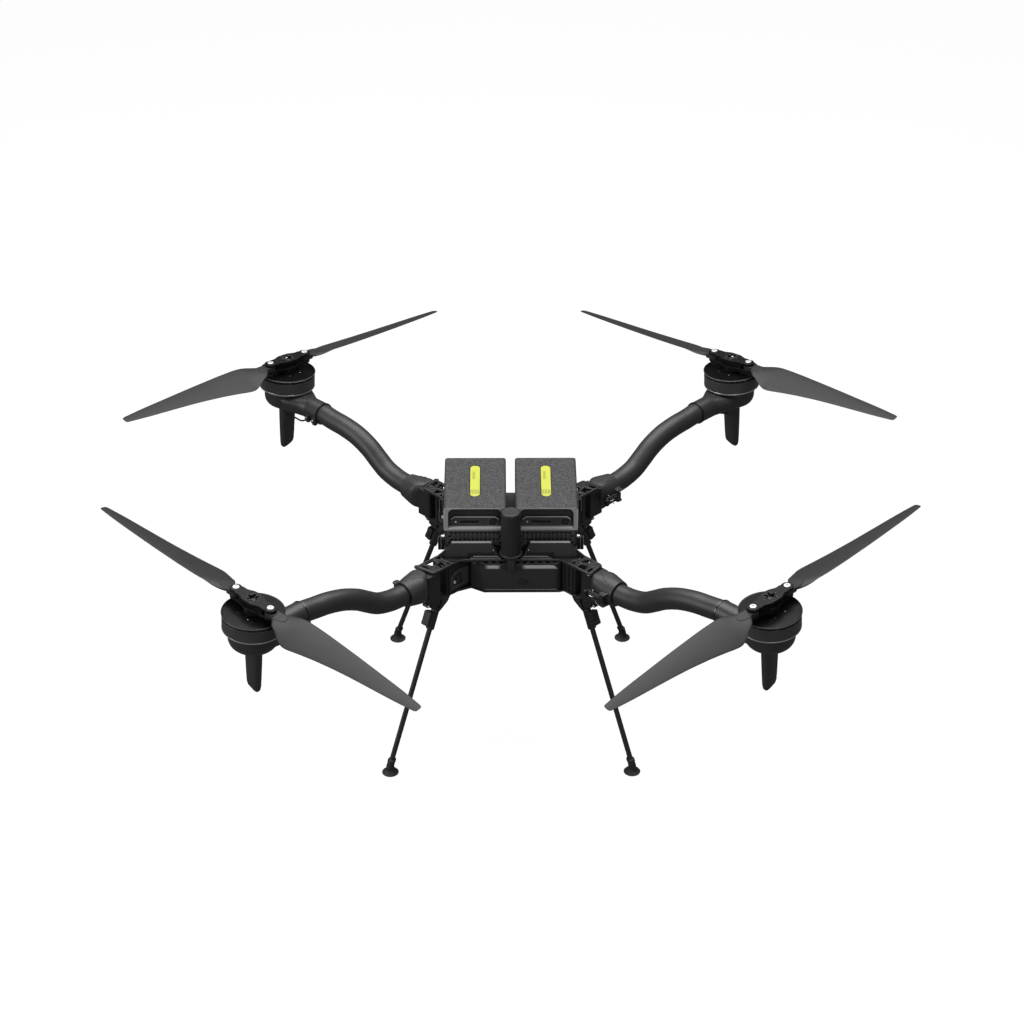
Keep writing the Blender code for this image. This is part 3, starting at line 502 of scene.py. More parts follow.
# Leg brackets: nylon brackets screwed under each corner. A socket takes the leg, a brace stands
# inside it, and a clamp grips it from outside, drawn up by a cross pin with bright ends.
leg_top, leg_end = Vector((0.2265, 0, 0.3420)), Vector((0.3585, 0, 0.0290))
leg_axis = (leg_end - leg_top).normalized()
leg_tilt = Matrix.Rotation(-math.atan2(leg_axis.x, -leg_axis.z), 4, "Y")
leg_seat = Matrix.Translation(leg_top) @ leg_tilt
under = 0.3817
bracket = block((0.1720, -0.0150, under - 0.005), (0.2380, 0.0150, under), nylon, 0.0010)
socket_profile = [(0.0062, -0.0360), (0.0084, -0.0360), (0.0090, -0.0352), (0.0090, 0.0050),
                  (0.0078, 0.0080), (0.0062, 0.0080)]
bracket += at(turned(socket_profile, nylon, 32), leg_seat)
brace = [(0.1760, under - 0.002), (0.2290, under - 0.002), (0.2300, 0.3420), (0.2226, 0.3390),
         (0.2090, 0.3460), (0.1914, 0.3570)]
brace_plate = plate(rounded(brace, 0.0015, 3), -0.0050, 0.0050, nylon, edge=0.0008)
bracket += at(brace_plate, ccw_side)
gusset = [(0.1840, under - 0.002), (0.2060, under - 0.002), (0.2200, 0.3500), (0.2120, 0.3520)]
for low in (-0.0090, 0.0060):
    bracket += at(plate(rounded(gusset, 0.0015, 3), low, low + 0.0030, nylon_highlight, edge=0.0006), ccw_side)
neck = [(0.2180, under - 0.001), (0.2440, under - 0.001), (0.2440, 0.3640), (0.2360, 0.3600),
        (0.2180, 0.3600)]
bracket += at(plate(rounded(neck, 0.0010, 2), -0.0085, 0.0085, nylon, edge=0.0007), ccw_side)
clamp_middle = leg_top + leg_axis * 0.012 + Vector((0.0134, 0, 0.0057))
clamp = block((-0.0075, -0.0095, -0.0160), (0.0075, 0.0095, 0.0160), nylon, 0.0014)
for low in (-0.0100, 0.0105):
    clamp += block((-0.0060, -0.0100, low), (0.0080, 0.0100, low + 0.0015), nylon_highlight, 0.0005)
bracket += at(clamp, Matrix.Translation(clamp_middle) @ leg_tilt)
toggle = sweep([(0.2500, -0.0070, 0.3710), (0.2500, 0.0070, 0.3710)], 0.0040, nylon_highlight, 16, edge=0.0006)
bracket += toggle + block((0.2430, -0.0060, 0.3670), (0.2500, 0.0060, 0.3750), nylon, 0.0008)
for side in (-1, 1):
    facing_side = Matrix.Rotation(-side * math.radians(90), 4, "X")
    bracket += at(bolt(0.0030, 0.0018, plated), Matrix.Translation((0.2500, side * 0.0068,
                                                                    0.3710)) @ facing_side)
bracket_mesh = knit("leg_bracket", bracket)
for name, turn, _ in corners:
    fit(f"{name}_leg_bracket", bracket_mesh, "chassis", corner_turn(turn),
        (f"leg_bracket_{name}",))

# Legs: pultruded carbon tubes wrapped with a braid and lacquered. Each pulls out of its clamp with
# its rubber foot, which is pushed on the end.
leg_radius, leg_length = 0.0055, (leg_end - leg_top).length
braid = Finish("braided_carbon", 0.42)
spot = braid.place()
turn_x, turn_y, height = (braid.node("SeparateXYZ", sockets={0: spot}, out=axis) for axis in "XYZ")
spin = braid.node("Math", {"operation": "ARCTAN2"}, {0: turn_y, 1: turn_x}) * 5
ways = (spin + height * 900, spin - height * 900)
strands = [braid.node("Math", {"operation": "SINE"}, {0: way}) for way in ways]
weave = braid.between(strands[0] * strands[1], -0.5, 0.5)
braid.colour(braid.mixed(weave, (0.009, 0.0092, 0.0095), (0.024, 0.0245, 0.025)))
braid.roughness(0.36 + weave * 0.14)
braid.relief(weave, 0.00008)
leg_line = [(0, 0, -0.0005), (0, 0, -leg_length * 0.5), (0, 0, -leg_length)]
leg_mesh = knit("leg_tube", sweep(leg_line, leg_radius, braid.material, 36, edge=0.0005))
# Height and radius of the foot, from the ground to the ankle.
foot_profile = ((0.0, 0.0155), (0.0004, 0.0168), (0.0012, 0.0176), (0.0024, 0.0178), (0.0034, 0.0172),
                (0.0042, 0.0158), (0.0058, 0.0128), (0.0085, 0.0104), (0.0120, 0.0092), (0.0180, 0.0084),
                (0.0270, 0.0080), (0.0278, 0.0089), (0.0316, 0.0089), (0.0326, 0.0084), (0.0332, 0.0070))
foot, foot_reach = [], 0.363
turns = [math.tau * k / 48 for k in range(48)]
for height, radius in foot_profile:
    lean = leg_end.x + (leg_end.z - height) * (leg_end.x - leg_top.x) / (leg_top.z - leg_end.z)
    middle = min(lean, foot_reach)
    foot.append([(middle + radius * math.cos(t), radius * math.sin(t), height) for t in turns])
foot_mesh = knit("leg_foot", loft(foot, rubber))
for name, turn, _ in corners:
    seat = corner_turn(turn)
    fit(f"{name}_leg", leg_mesh, f"leg_{name}", seat @ leg_seat, (f"leg_tube_{name}",))
    fit(f"{name}_foot", foot_mesh, f"leg_{name}", seat, (f"leg_foot_{name}",))

# Boom fittings: each boom's root is a cast, painted fitting that swells from the hinge tongue to
# a full round and is bonded over the tube. A black sealing ring covers the joint.
fitting_paint = moulded("fitting_paint", (0.027, 0.0275, 0.028), 0.50, grain=0.0009, depth=0.00002)
seal_black = moulded("sealing_ring", (0.006, 0.006, 0.006), 0.30, coat=0.4)
# Distance out, low side, high side, middle height, half height, squareness.
fitting_sections = (
    (0.2565, -0.0245, 0.0150, 0.4245, 0.0322, 4.0),
    (0.2660, -0.0300, 0.0235, 0.4255, 0.0318, 3.4),
    (0.2770, -0.0310, 0.0305, 0.4258, 0.0315, 2.8),
    (0.2920, -0.0305, 0.0305, 0.4257, 0.0305, 2.3),
    (0.3060, -0.0290, 0.0290, 0.4258, 0.0288, 2.0),
    (0.3137, -0.0275, 0.0275, 0.4260, 0.0275, 2.0),
)


def smooth_rows(rows, per_span):
    """A Catmull-Rom curve through rows of numbers."""
    rows = [np.array(row, float) for row in rows]
    rows = [2 * rows[0] - rows[1], *rows, 2 * rows[-1] - rows[-2]]
    smooth = []
    for before, a, b, after in zip(rows, rows[1:], rows[2:], rows[3:]):
        for step in range(per_span):
            t = step / per_span
            bend = (2 * before - 5 * a + 4 * b - after) * t**2 + (3 * a - before - 3 * b + after) * t**3
            smooth.append(0.5 * (2 * a + (b - before) * t + bend))
    return [*smooth, rows[-2]]


def squared_ring(out, low, high, middle, half_height, power, count=56):
    ring = []
    for k in range(count):
        angle = math.tau * (k + 0.5) / count
        c, s = math.cos(angle), math.sin(angle)
        y = (low + high) / 2 + (high - low) / 2 * math.copysign(abs(c) ** (2 / power), c)
        ring.append((out, y, middle + half_height * math.copysign(abs(s) ** (2 / power), s)))
    return ring


def fitting_top(out, side):
    """The height of the fitting's skin above a point."""
    rows = smooth_rows(fitting_sections, 6)
    columns = np.array(rows).T
    low, high, middle, half_height, power = (np.interp(out, columns[0], column) for column in columns[1:])
    reach = min(abs((side - (low + high) / 2) / ((high - low) / 2)), 0.999)
    return middle + half_height * (1 - reach**power) ** (1 / power)


rings = [squared_ring(*row) for row in smooth_rows(fitting_sections, 6)]
lead_in = np.array(fitting_sections[0]) + 0.0012 * np.array((-1, 1, -1, 0, -1, 0))
fitting = loft([squared_ring(*lead_in), *rings], fitting_paint)
tongue = [(pin_spot.x - 0.0105, -0.022), (0.2620, -0.022), (0.2620, 0.022), (pin_spot.x - 0.0105, 0.022)]
tongue = [(x, min(y, pin_spot.y + 0.010)) for x, y in tongue]
tongue_outline = rounded(tongue, [0.004, 0.001, 0.001, 0.006], 4)
pin_hole = [pin_spot.to_2d() + p for p in oval(0.0044, 0.0044, 20)]
fitting += plate(tongue_outline, lower_top + 0.0005, upper_under - 0.0005, nylon, [pin_hole], edge=0.0010)
step_line = [(0.2640, -0.0020), (0.2700, -0.0060), (0.2770, -0.0080), (0.2830, -0.0140), (0.2920, -0.0150)]
for aside, radius in ((0.0, 0.0011), (0.020, 0.0009)):
    raised = [(x, y + aside, fitting_top(x, y + aside) - 0.0002) for x, y in step_line]
    fitting += sweep(raised, radius, fitting_paint, 10)
along_boom = Matrix.Translation((0.3134, 0, 0.4260)) @ Matrix.Rotation(math.radians(90), 4, "Y")
ring_profile = [(0.0210, -0.0012), (0.0262, -0.0012), (0.0272, -0.0004), (0.0262, 0.0006), (0.0240, 0.0006)]
latch_spot = Vector((0.3000, -0.0370, 0.4220))
ear = ((0.2925, -0.0200), (0.2925, -0.0400), (0.3070, -0.0415), (0.3085, -0.0200))
ear_outline = rounded(ear, [0.001, 0.004, 0.004, 0.001], 4)
for level in (-0.0125, 0.0125):
    height = latch_spot.z + level
    fitting += plate(ear_outline, height - 0.002, height + 0.002, fitting_paint, edge=0.0006)
    facing = Matrix.Translation((latch_spot.x, latch_spot.y, height + math.copysign(0.0018, level)))
    if level < 0:
        facing = facing @ Matrix.Rotation(math.pi, 4, "X")
    fitting += at(bolt(0.0026, 0.0013, nylon_highlight if level > 0 else plated), facing)
latch_pin = [(0.0015, latch_spot.z - 0.0125), (0.0015, latch_spot.z + 0.0125)]
fitting += at(turned(latch_pin, steel, 16), Matrix.Translation((latch_spot.x, latch_spot.y, 0)))
wire_spring = smooth_rows([(0.2700, -0.0325, 0.4330), (0.2740, -0.0350, 0.4240), (0.2800, -0.0365, 0.4130),
                           (0.2850, -0.0355, 0.4060), (0.2900, -0.0320, 0.4020)], 5)
fitting += sweep(wire_spring, 0.0008, plated, 10)
fitting_mesh = knit("boom_fitting", fitting)
for name, turn, _ in corners:
    fit(f"{name}_fitting", fitting_mesh, f"boom_{name}", corner_turn(turn),
        (f"boom_fitting_{name}",))

# Boom latches: black nylon levers with a plated spring strip, each on a steel pin beside its
# fitting. Swinging the lever out frees the boom.
lever = rounded(((-0.0420, -0.0095), (0.0035, -0.0080), (0.0035, 0.0080), (-0.0420, 0.0095)), 0.003, 4)
latch = at(plate(lever, -0.0028, 0.0018, nylon, edge=0.0008), ccw_side)
tip = rounded(((-0.0470, -0.0075), (-0.0385, -0.0075), (-0.0385, 0.0075), (-0.0470, 0.0075)), 0.002, 4)
latch += at(plate(tip, -0.0072, -0.0010, nylon, edge=0.0010), ccw_side)
for level in (-0.0045, 0.0045):
    rail = [(-0.0360, -0.0030, level), (-0.0200, -0.0042, level), (-0.0060, -0.0030, level)]
    latch += sweep(rail, 0.0011, nylon, 10)
spring = [(-0.0330, -0.0034, 0.0), (-0.0290, -0.0044, 0.0), (-0.0250, -0.0044, 0.0), (-0.0210, -0.0034, 0.0)]
latch += sweep(spring, 0.0015, plated, 12, flat=0.45)
latch_mesh = knit("boom_latch", latch)
for name, turn, _ in corners:
    seat = corner_turn(turn) @ Matrix.Translation(latch_spot)
    fit(f"{name}_latch", latch_mesh, f"latch_{name}", seat, (f"boom_latch_{name}",))

# Booms: gull-winged carbon tubes, moulded in one piece with a matt dark grey coat. They rise from
# the fitting to the motor and lean sideways at the end to meet its tilted clamp.
boom_coat = Finish("boom_coat", 0.46)
grain, cloud = boom_coat.noise(0.0011, detail=3.0), boom_coat.noise(0.05, detail=3.0)
boom_coat.colour(boom_coat.mixed(cloud * 0.7 + grain * 0.3, (0.020, 0.0203, 0.0206), (0.030, 0.0305, 0.031)))
boom_coat.roughness(0.42 + cloud * 0.10)
boom_coat.relief(grain, 0.00003)
tube_radius, boom_start, boom_stop = 0.0225, 0.3140, 0.5827
boom_line = ((0.3200, 0.4260), (0.3515, 0.4290), (0.3850, 0.4380), (0.4120, 0.4540), (0.4400, 0.4720),
             (0.4770, 0.4880), (0.5160, 0.4970), (0.5500, 0.5005), (0.5767, 0.5040))
shift_start, axis_drop, cant = 0.440, 0.0982, math.radians(3.6)


def boom_mesh(hand):
    route = []
    for out, height in boom_line:
        share = min(max((out - shift_start) / (boom_line[-1][0] - shift_start), 0), 1)
        route.append((out, -hand * axis_drop * math.sin(cant) * share * share * (3 - 2 * share), height))
    route = [(boom_start, *route[0][1:]), *smooth_rows(route, 8), (boom_stop, *route[-1][1:])]
    return knit("boom_tube", sweep(route, tube_radius, boom_coat.material, 64, edge=0.0006))


boom_meshes = {hand: boom_mesh(hand) for hand in (1, -1)}
ring_mesh = knit("boom_ring", at(turned(ring_profile, seal_black, 72), along_boom))
for name, turn, hand in corners:
    fit(f"{name}_boom", boom_meshes[hand], f"boom_{name}", corner_turn(turn),
        (f"boom_tube_{name}",))
    fit(f"{name}_boom_ring", ring_mesh, f"boom_{name}", corner_turn(turn))

# Motor mounts: each is one black casting, with a sleeve clamped on the boom by two screws, the
# motor's lower housing, and a fin under it for an aerial, which a rubber-covered wire reaches.
anodised = Finish("black_anodised", 0.36, 0.25)
lathe_marks, cloud = anodised.noise(0.0007, (0.3, 0.3, 4)), anodised.noise(0.03, detail=3.0)
anodised.colour(anodised.mixed(cloud, (0.046, 0.0470, 0.0466), (0.066, 0.0670, 0.0666)))
anodised.roughness(0.30 + cloud * 0.10 + lathe_marks * 0.06)
anodised.relief(lathe_marks, 0.00002)
anodised = anodised.material
cast_black = moulded("cast_black", (0.0240, 0.0245, 0.0245), 0.42, grain=0.0009, depth=0.00004)
motor_reach, bolt_height = math.hypot(0.5, 0.5), 0.602
sleeve_radius, housing_radius = 0.0246, 0.051
housing_top = -0.0733


# Half width, half thickness, height on the low side, height on the high side.
fin_sections = (
    (0.0222, 0.0138, -0.1060, -0.1060), (0.0214, 0.0126, -0.1170, -0.1170), (0.0203, 0.0118, -0.1230,
                                                                             -0.1230),
    (0.0196, 0.0112, -0.1500, -0.1500), (0.0182, 0.0100, -0.1900, -0.1900), (0.0172, 0.0092, -0.2120,
                                                                             -0.2070),
    (0.0158, 0.0080, -0.2205, -0.2125), (0.0128, 0.0058, -0.2245, -0.2160),
)


def fin_ring(half_width, half_thick, low, high, low_side, count=32):
    """A rounded ring of the fin, which may slope up from its low side."""
    ring = []
    for k in range(count):
        angle = math.tau * k / count
        c, s = math.cos(angle), math.sin(angle)
        across = half_width * math.copysign(abs(c) ** 0.62, c)
        along = half_thick * math.copysign(abs(s) ** 0.80, s)
        ring.append((along, across, high + (low - high) * (1 + low_side * across / half_width) / 2))
    return ring


def motor_mount(low_side):
    housing = [(0.0490, housing_top), (housing_radius, housing_top - 0.0012), (housing_radius, -0.0930)]
    for step in range(1, 9):
        turn = math.pi / 2 * step / 8
        housing.append((0.034 + (housing_radius - 0.034) * math.cos(turn), -0.0930 - 0.0220 * math.sin(turn)))
    housing.append((0.0150, -0.1175))
    mount = turned(housing, cast_black, 72)
    start = boom_stop + 0.0003 - motor_reach
    mount += sweep([(start, 0, -axis_drop), (-0.060, 0, -axis_drop), (-0.010, 0, -axis_drop)],
                   sleeve_radius, cast_black, 64, edge=0.0010)
    flare = []
    for share in np.linspace(0, 1, 9):
        swell = share * share * (3 - 2 * share)
        ring = squared_ring(-0.0880 + 0.0600 * share, -0.0242 - 0.0200 * swell, 0.0242 + 0.0200 * swell,
                            -axis_drop + 0.0035 * swell, 0.0242 - 0.0040 * swell, 2 + 1.2 * swell, 48)
        flare.append(ring)
    mount += loft(flare, cast_black)
    joint_seal = [(0.0244, -0.0016), (0.0256, -0.0010), (0.0256, 0.0010), (0.0244, 0.0016)]
    seat = Matrix.Translation((start + 0.0010, 0, -axis_drop)) @ Matrix.Rotation(math.radians(90), 4, "Y")
    mount += at(turned(joint_seal, seal_black, 64), seat)
    for out in (-0.1190, -0.0970):
        low, high = Vector((-0.0060, 0.0150, -0.0180)), Vector((0.0060, 0.0285, -0.0030))
        seat = Vector((out, 0, -axis_drop))
        mount += block(seat + low, seat + high, nylon, 0.0012)
        low, high = Vector((-0.0045, 0.0180, -0.0220)), Vector((0.0045, 0.0265, -0.0160))
        mount += block(seat + low, seat + high, nylon_highlight, 0.0010)
        facing = Matrix.Translation((out, 0.0281, -axis_drop - 0.0100)) @ Matrix.Rotation(math.radians(-90),
                                                                                          4, "X")
        mount += at(bolt(0.0026, 0.0018, steel), facing)
    mount += loft([fin_ring(*row, low_side) for row in fin_sections], cast_black)
    lead = smooth_rows([(-0.0900, 0.0180, -0.1190), (-0.0700, 0.0190, -0.1290), (-0.0420, 0.0140, -0.1330),
                        (-0.0220, 0.0080, -0.1400), (-0.0080, 0.0050, -0.1440)], 6)
    return mount + sweep(lead, 0.0019, rubber, 12)


mount_meshes = {side: knit("motor_mount", motor_mount(side)) for side in (1, -1)}


def rotor_seat(turn, hand):
    """The rotor's frame: Z up its leaning axis, zero at the blade bolts."""
    place = Matrix.Translation((motor_reach, 0, bolt_height))
    return corner_turn(turn) @ place @ Matrix.Rotation(-hand * cant, 4, "X")


for name, turn, hand in corners:
    mesh = mount_meshes[1 if name.endswith("left") else -1]
    fit(f"{name}_mount", mesh, f"boom_{name}", rotor_seat(turn, hand),
        (f"motor_mount_{name}",))

# Motor bells: turned and black anodised, with a cap disc standing on short spokes so that air is
# drawn through the slot, and a bright machined edge along the bottom. They turn with the hub.
bright_edge = Finish("machined_edge", 0.38, 0.9)
bright_edge.colour(bright_edge.mixed(bright_edge.noise(0.002, (1, 1, 6)), (0.50, 0.50, 0.51),
                                     (0.72, 0.72, 0.73)))
bright_edge = bright_edge.material
# Near-black for the wall inside the slot and the bell's underside: painted shade where the motor's inside
# lies.
slot_painted_shade = moulded("slot_painted_shade", (0.0015, 0.0015, 0.0015), 0.7)
cap_top, cap_radius, bell_radius, bell_bottom = -0.035, 0.0632, 0.0620, -0.073


def set_shine(material, amount):
    material.node_tree.nodes["Principled BSDF"].inputs["Specular IOR Level"].default_value = amount


cap_black = moulded("cap_black", (0.0030, 0.0031, 0.0032), 0.30, grain=0.0006, depth=0.000008)
set_shine(cap_black, 0.16)
rim_line = Finish("cap_rim_line", 0.42, 0.2)
rim_line.colour(rim_line.mixed(rim_line.noise(0.002, (1, 1, 6)), (0.070, 0.070, 0.071),
                               (0.100, 0.100, 0.101)))
rim_line = rim_line.material
bell = turned([(0.0040, cap_top - 0.0006), (0.0230, cap_top - 0.0006), (0.0236, cap_top), (0.0588, cap_top),
               (0.0592, cap_top - 0.0004), (0.0600, cap_top - 0.0004), (0.0606, cap_top), (0.0622, cap_top)],
              cap_black, 96, closed=False)
bell += turned([(0.0622, cap_top), (cap_radius - 0.0003, cap_top - 0.0003), (cap_radius, cap_top - 0.0009)],
               rim_line, 96, closed=False)
cap_edge = [(cap_radius, cap_top - 0.0009), (cap_radius, cap_top - 0.0016),
            (cap_radius - 0.0006, cap_top - 0.0021), (0.0580, cap_top - 0.0021)]
bell += turned(cap_edge, anodised, 96, closed=False)
shoulder = cap_top - 0.0078
# The near-black wall inside the slot: painted shade.
bell += turned([(0.0575, cap_top - 0.0018), (0.0575, shoulder - 0.0004)], slot_painted_shade, 72)
bell += turned([(0.0540, shoulder), (bell_radius - 0.0008, shoulder), (bell_radius, shoulder - 0.0008),
                (bell_radius, bell_bottom + 0.0046)], anodised, 96, closed=False)
bell += turned([(bell_radius, bell_bottom + 0.0046), (bell_radius + 0.0003, bell_bottom + 0.0040),
                (bell_radius + 0.0002, bell_bottom + 0.0022), (bell_radius - 0.0012, bell_bottom + 0.0012)],
               bright_edge, 96, closed=False)
# The near-black underside of the bell: painted shade.
bell += turned([(bell_radius - 0.0012, bell_bottom + 0.0012), (0.0560, bell_bottom)], slot_painted_shade, 96,
               closed=False)
bell += turned([(0.0560, bell_bottom), (0.0100, bell_bottom + 0.0001)], slot_painted_shade, 48, closed=False)
for number in range(10):
    spoke = block((0.0540, -0.0013, shoulder - 0.0004), (0.0614, 0.0013, cap_top - 0.0018), anodised, 0.0004)
    bell += at(spoke, corner_turn(number * 36))
for number in range(6):
    spot = corner_turn(30 + number * 60) @ Matrix.Translation((0.0300, 0, cap_top))
    bell += at(bolt(0.0016, 0.0006, steel if number % 3 == 0 else anodised), spot)
bell_mesh = knit("motor_bell", bell)
for name, turn, hand in corners:
    fit(f"{name}_bell", bell_mesh, f"rotor_{name}", rotor_seat(turn, hand),
        (f"motor_bell_{name}",))

# Propeller hubs: black moulded bars bolted to the cap disc. Each end is a fork with a bright bolt
# through it for a blade, and the top cheek is pierced by a toothed opening over the centre screw.
hub_black = moulded("hub_black", (0.0042, 0.0043, 0.0044), 0.46)
set_shine(hub_black, 0.2)
blade_pivot, prop_line = 0.0485, math.radians(87.6)
low_cheek, high_cheek = (-0.0260, -0.0204), (-0.0091, -0.0031)


def bar_outline(end_radius, waist, middle):
    """The hub seen from above: round ends, a slight waist and a broader middle."""
    half = []
    flank = [(0.0, middle), (0.0130, middle - 0.0004), (0.0280, waist), (0.0390, waist + 0.0002)]
    for out, reach in smooth_rows(flank, 5):
        half.append((out, reach))
    for step in range(1, 14):
        angle = math.radians(128 - 128 * step / 13)
        half.append((blade_pivot + end_radius * math.cos(angle), end_radius * math.sin(angle)))
    side = half + [(x, -y) for x, y in half[-2::-1]]
    return [Vector(p) for p in side[:-1]] + [Vector((-x, -y)) for x, y in side[:-1]]


def star(inner, outer, count=48):
    """A six-toothed opening."""
    ring = []
    for k in range(count):
        angle = math.tau * k / count
        reach = inner + (outer - inner) * (0.5 + 0.5 * math.cos(6 * angle)) ** 1.6
        ring.append(Vector((reach * math.cos(angle), reach * math.sin(angle))))
    return ring


# A pale ring round the toothed opening, much lighter than the hub: painted highlight on its edge.
star_rim_highlight = moulded("star_rim_highlight", (0.110, 0.111, 0.113), 0.40)
star_hole = star(0.0085, 0.0148)
hub = plate(bar_outline(0.0128, 0.0126, 0.0186), *high_cheek, hub_black, [star_hole], edge=0.0011)
hub += plate(bar_outline(0.0124, 0.0118, 0.0160), *low_cheek, hub_black, edge=0.0008)
core = ((-0.0345, -0.0098), (0.0345, -0.0098), (0.0345, 0.0098), (-0.0345, 0.0098))
hub += plate(rounded(core, 0.002, 3), -0.0300, high_cheek[0] + 0.0003, hub_black, edge=0.0008)
hub += turned([(0.0195, cap_top + 0.0003), (0.0200, cap_top + 0.0010), (0.0200, -0.0212), (0.0190, -0.0200)],
              hub_black, 40)
hub += at(bolt(0.0044, 0.0022, anodised), Matrix.Translation((0, 0, high_cheek[0] + 0.0002)))
# The pale ring round the toothed opening: painted highlight.
hub += plate(star(0.0093, 0.0157), high_cheek[1] - 0.0004, high_cheek[1] + 0.00025, star_rim_highlight, [star_hole],
             edge=0.0001, steps=1)
for side in (-1, 1):
    spot = Matrix.Translation((side * blade_pivot, 0, high_cheek[1]))
    hub += at(turned([(0.0108, -0.0006), (0.0108, 0.0003), (0.0100, 0.0008), (0.0060, 0.0008)], hub_black,
                     32), spot)
    hub += at(bolt(0.0070, 0.0024, plated, socket=0.34), spot)
    shank = turned([(0.0030, low_cheek[0] - 0.0012), (0.0030, -0.0040)], steel, 20)
    hub += at(shank, Matrix.Translation((side * blade_pivot, 0, 0)))
    for across in (-0.0085, 0.0085):
        spot = Matrix.Translation((side * 0.0100, across, high_cheek[1] - 0.0001))
        hub += at(bolt(0.0014, 0.0007, anodised), spot)
hub_mesh = knit("prop_hub", hub)
for name, turn, hand in corners:
    seat = rotor_seat(turn, hand) @ Matrix.Rotation(-hand * prop_line, 4, "Z")
    fit(f"{name}_hub", hub_mesh, f"rotor_{name}", seat, (f"prop_hub_{name}",))

# Propeller blades: carbon-filled mouldings with a satin skin, broad near the root, pitched and
# tapering to a squared tip. The round root sits in the hub's fork and lets the blade fold.
blade_skin = Finish("blade_composite", 0.48)
blade_skin.shader.inputs["Specular IOR Level"].default_value = 0.3
along_blade = blade_skin.node("Attribute", {"attribute_name": "along_blade"}, out=1)
stretched = blade_skin.node("VectorMath", {"operation": "MULTIPLY"}, {0: along_blade, 1: (0.06, 1, 1)})
streaks = blade_skin.node("TexNoise", sockets={"Vector": stretched, "Scale": 620.0, "Detail": 3.0})
cloud = blade_skin.noise(0.06, detail=3.0)
tone = blade_skin.mixed(cloud * 0.55 + streaks * 0.45, (0.019, 0.0193, 0.0196), (0.034, 0.0344, 0.0350))
scuff = blade_skin.between(blade_skin.noise(0.005, detail=5.0), 0.62, 0.80)
blade_skin.colour(blade_skin.mixed(scuff * 0.12, tone, (0.075, 0.075, 0.077)))
blade_skin.roughness(0.44 + cloud * 0.10 + scuff * 0.08)
blade_skin.relief(streaks, 0.00004)
blade_skin = blade_skin.material
# A pale ring round the blade's root boss: painted highlight on its edge.
blade_boss_highlight = moulded("blade_boss_painted_highlight", (0.085, 0.086, 0.088), 0.40)
tongue_middle, tongue_half, tip_reach = -0.01475, 0.00525, 0.457
# Distance from the motor's axis, leading edge, trailing edge, thickness.
blade_sections = (
    (0.0622, 0.0110, -0.0110, 0.0090), (0.0665, 0.0125, -0.0135, 0.0090), (0.0780, 0.0170, -0.0250, 0.0084),
    (0.0950, 0.0220, -0.0330, 0.0074), (0.1150, 0.0252, -0.0445, 0.0066), (0.1350, 0.0265, -0.0492, 0.0060),
    (0.1750, 0.0250, -0.0430, 0.0051), (0.2150, 0.0222, -0.0373, 0.0044), (0.2700, 0.0178, -0.0318, 0.0038),
    (0.3300, 0.0122, -0.0282, 0.0032), (0.4000, 0.0052, -0.0246, 0.0026), (0.4480, -0.0012, -0.0208, 0.0020),
    (0.4535, -0.0024, -0.0200, 0.0018), (0.4560, -0.0044, -0.0182, 0.0014), (0.4570, -0.0070, -0.0156,
                                                                             0.0009),
)


def blade_ring(out, lead, trail, thickness, hand, count=18):
    grip = min(max((out - 0.062) / 0.060, 0), 1)
    pitch = 19 - 7 * max(out - 0.12, 0) / (tip_reach - 0.12)
    pitch = math.radians(pitch) * grip * grip * (3 - 2 * grip)
    stations = [0.5 - 0.5 * math.cos(math.pi * k / count) for k in range(count + 1)]
    ring = []
    for upper, shares in ((1, stations), (-1, stations[-2:0:-1])):
        for share in shares:
            fullness = (4 * share * (1 - share)) ** 0.55 * (1.12 - 0.5 * share)
            height = thickness * (0.50 if upper > 0 else -0.32) * fullness
            height += thickness * 0.10 * math.sin(math.pi * share) * grip
            across = lead + (trail - lead) * share
            y = across * math.cos(pitch) - height * math.sin(pitch)
            z = tongue_middle + across * math.sin(pitch) + height * math.cos(pitch)
            ring.append((out - blade_pivot, hand * y, z))
    return ring


def blade_mesh(hand):
    rows = smooth_rows(blade_sections[:12], 6) + [np.array(row) for row in blade_sections[12:]]
    blade = loft([blade_ring(*row, hand) for row in rows], blade_skin)
    eye = [Vector(p) for p in oval(0.0036, 0.0036, 20)]
    root = []
    for step in range(25):
        angle = math.radians(98 + 164 * step / 24)
        root.append(Vector((0.0113 * math.cos(angle), 0.0113 * math.sin(angle))))
    root += [Vector((0.0165, -0.0106)), Vector((0.0165, 0.0106))]
    low, high = tongue_middle - tongue_half, tongue_middle + tongue_half
    blade += plate(root, low, high, blade_skin, [eye], edge=0.0008)
    boss = [Vector((0.0250 + p.x, p.y)) for p in oval(0.0200, 0.0112, 40)]
    boss_edge = [Vector((0.0250 + p.x, p.y)) for p in oval(0.0206, 0.0118, 40)]
    pitch = math.radians(hand * 7)
    tilt = Matrix.Translation((0, 0, tongue_middle + 0.0012)) @ Matrix.Rotation(pitch, 4, "X")
    blade += at(plate(boss, -0.0030, 0.0036, blade_skin, edge=0.0014, steps=3), tilt)
    # The boss's pale outline ring: painted highlight.
    mesh = knit("blade", blade + at(plate(boss_edge, 0.0006, 0.0024, blade_boss_highlight, edge=0.0005), tilt))
    spots = np.empty(len(mesh.vertices) * 3)
    mesh.vertices.foreach_get("co", spots)
    mesh.attributes.new("along_blade", "FLOAT_VECTOR", "POINT").data.foreach_set("vector", spots)
    return mesh


blade_meshes = {hand: blade_mesh(hand) for hand in (1, -1)}
for name, turn, hand in corners:
    for letter, half_turn in (("a", 0), ("b", math.pi)):
        along = Matrix.Rotation(-hand * prop_line + half_turn, 4, "Z")
        mesh = blade_meshes[hand].copy()
        mesh.transform(rotor_seat(turn, hand) @ along @ Matrix.Translation((blade_pivot, 0, 0)))
        fit(f"{name}_blade_{letter}", mesh, f"blade_{letter}_{name}",
            nodes=(f"blade_{letter}_{name}",))

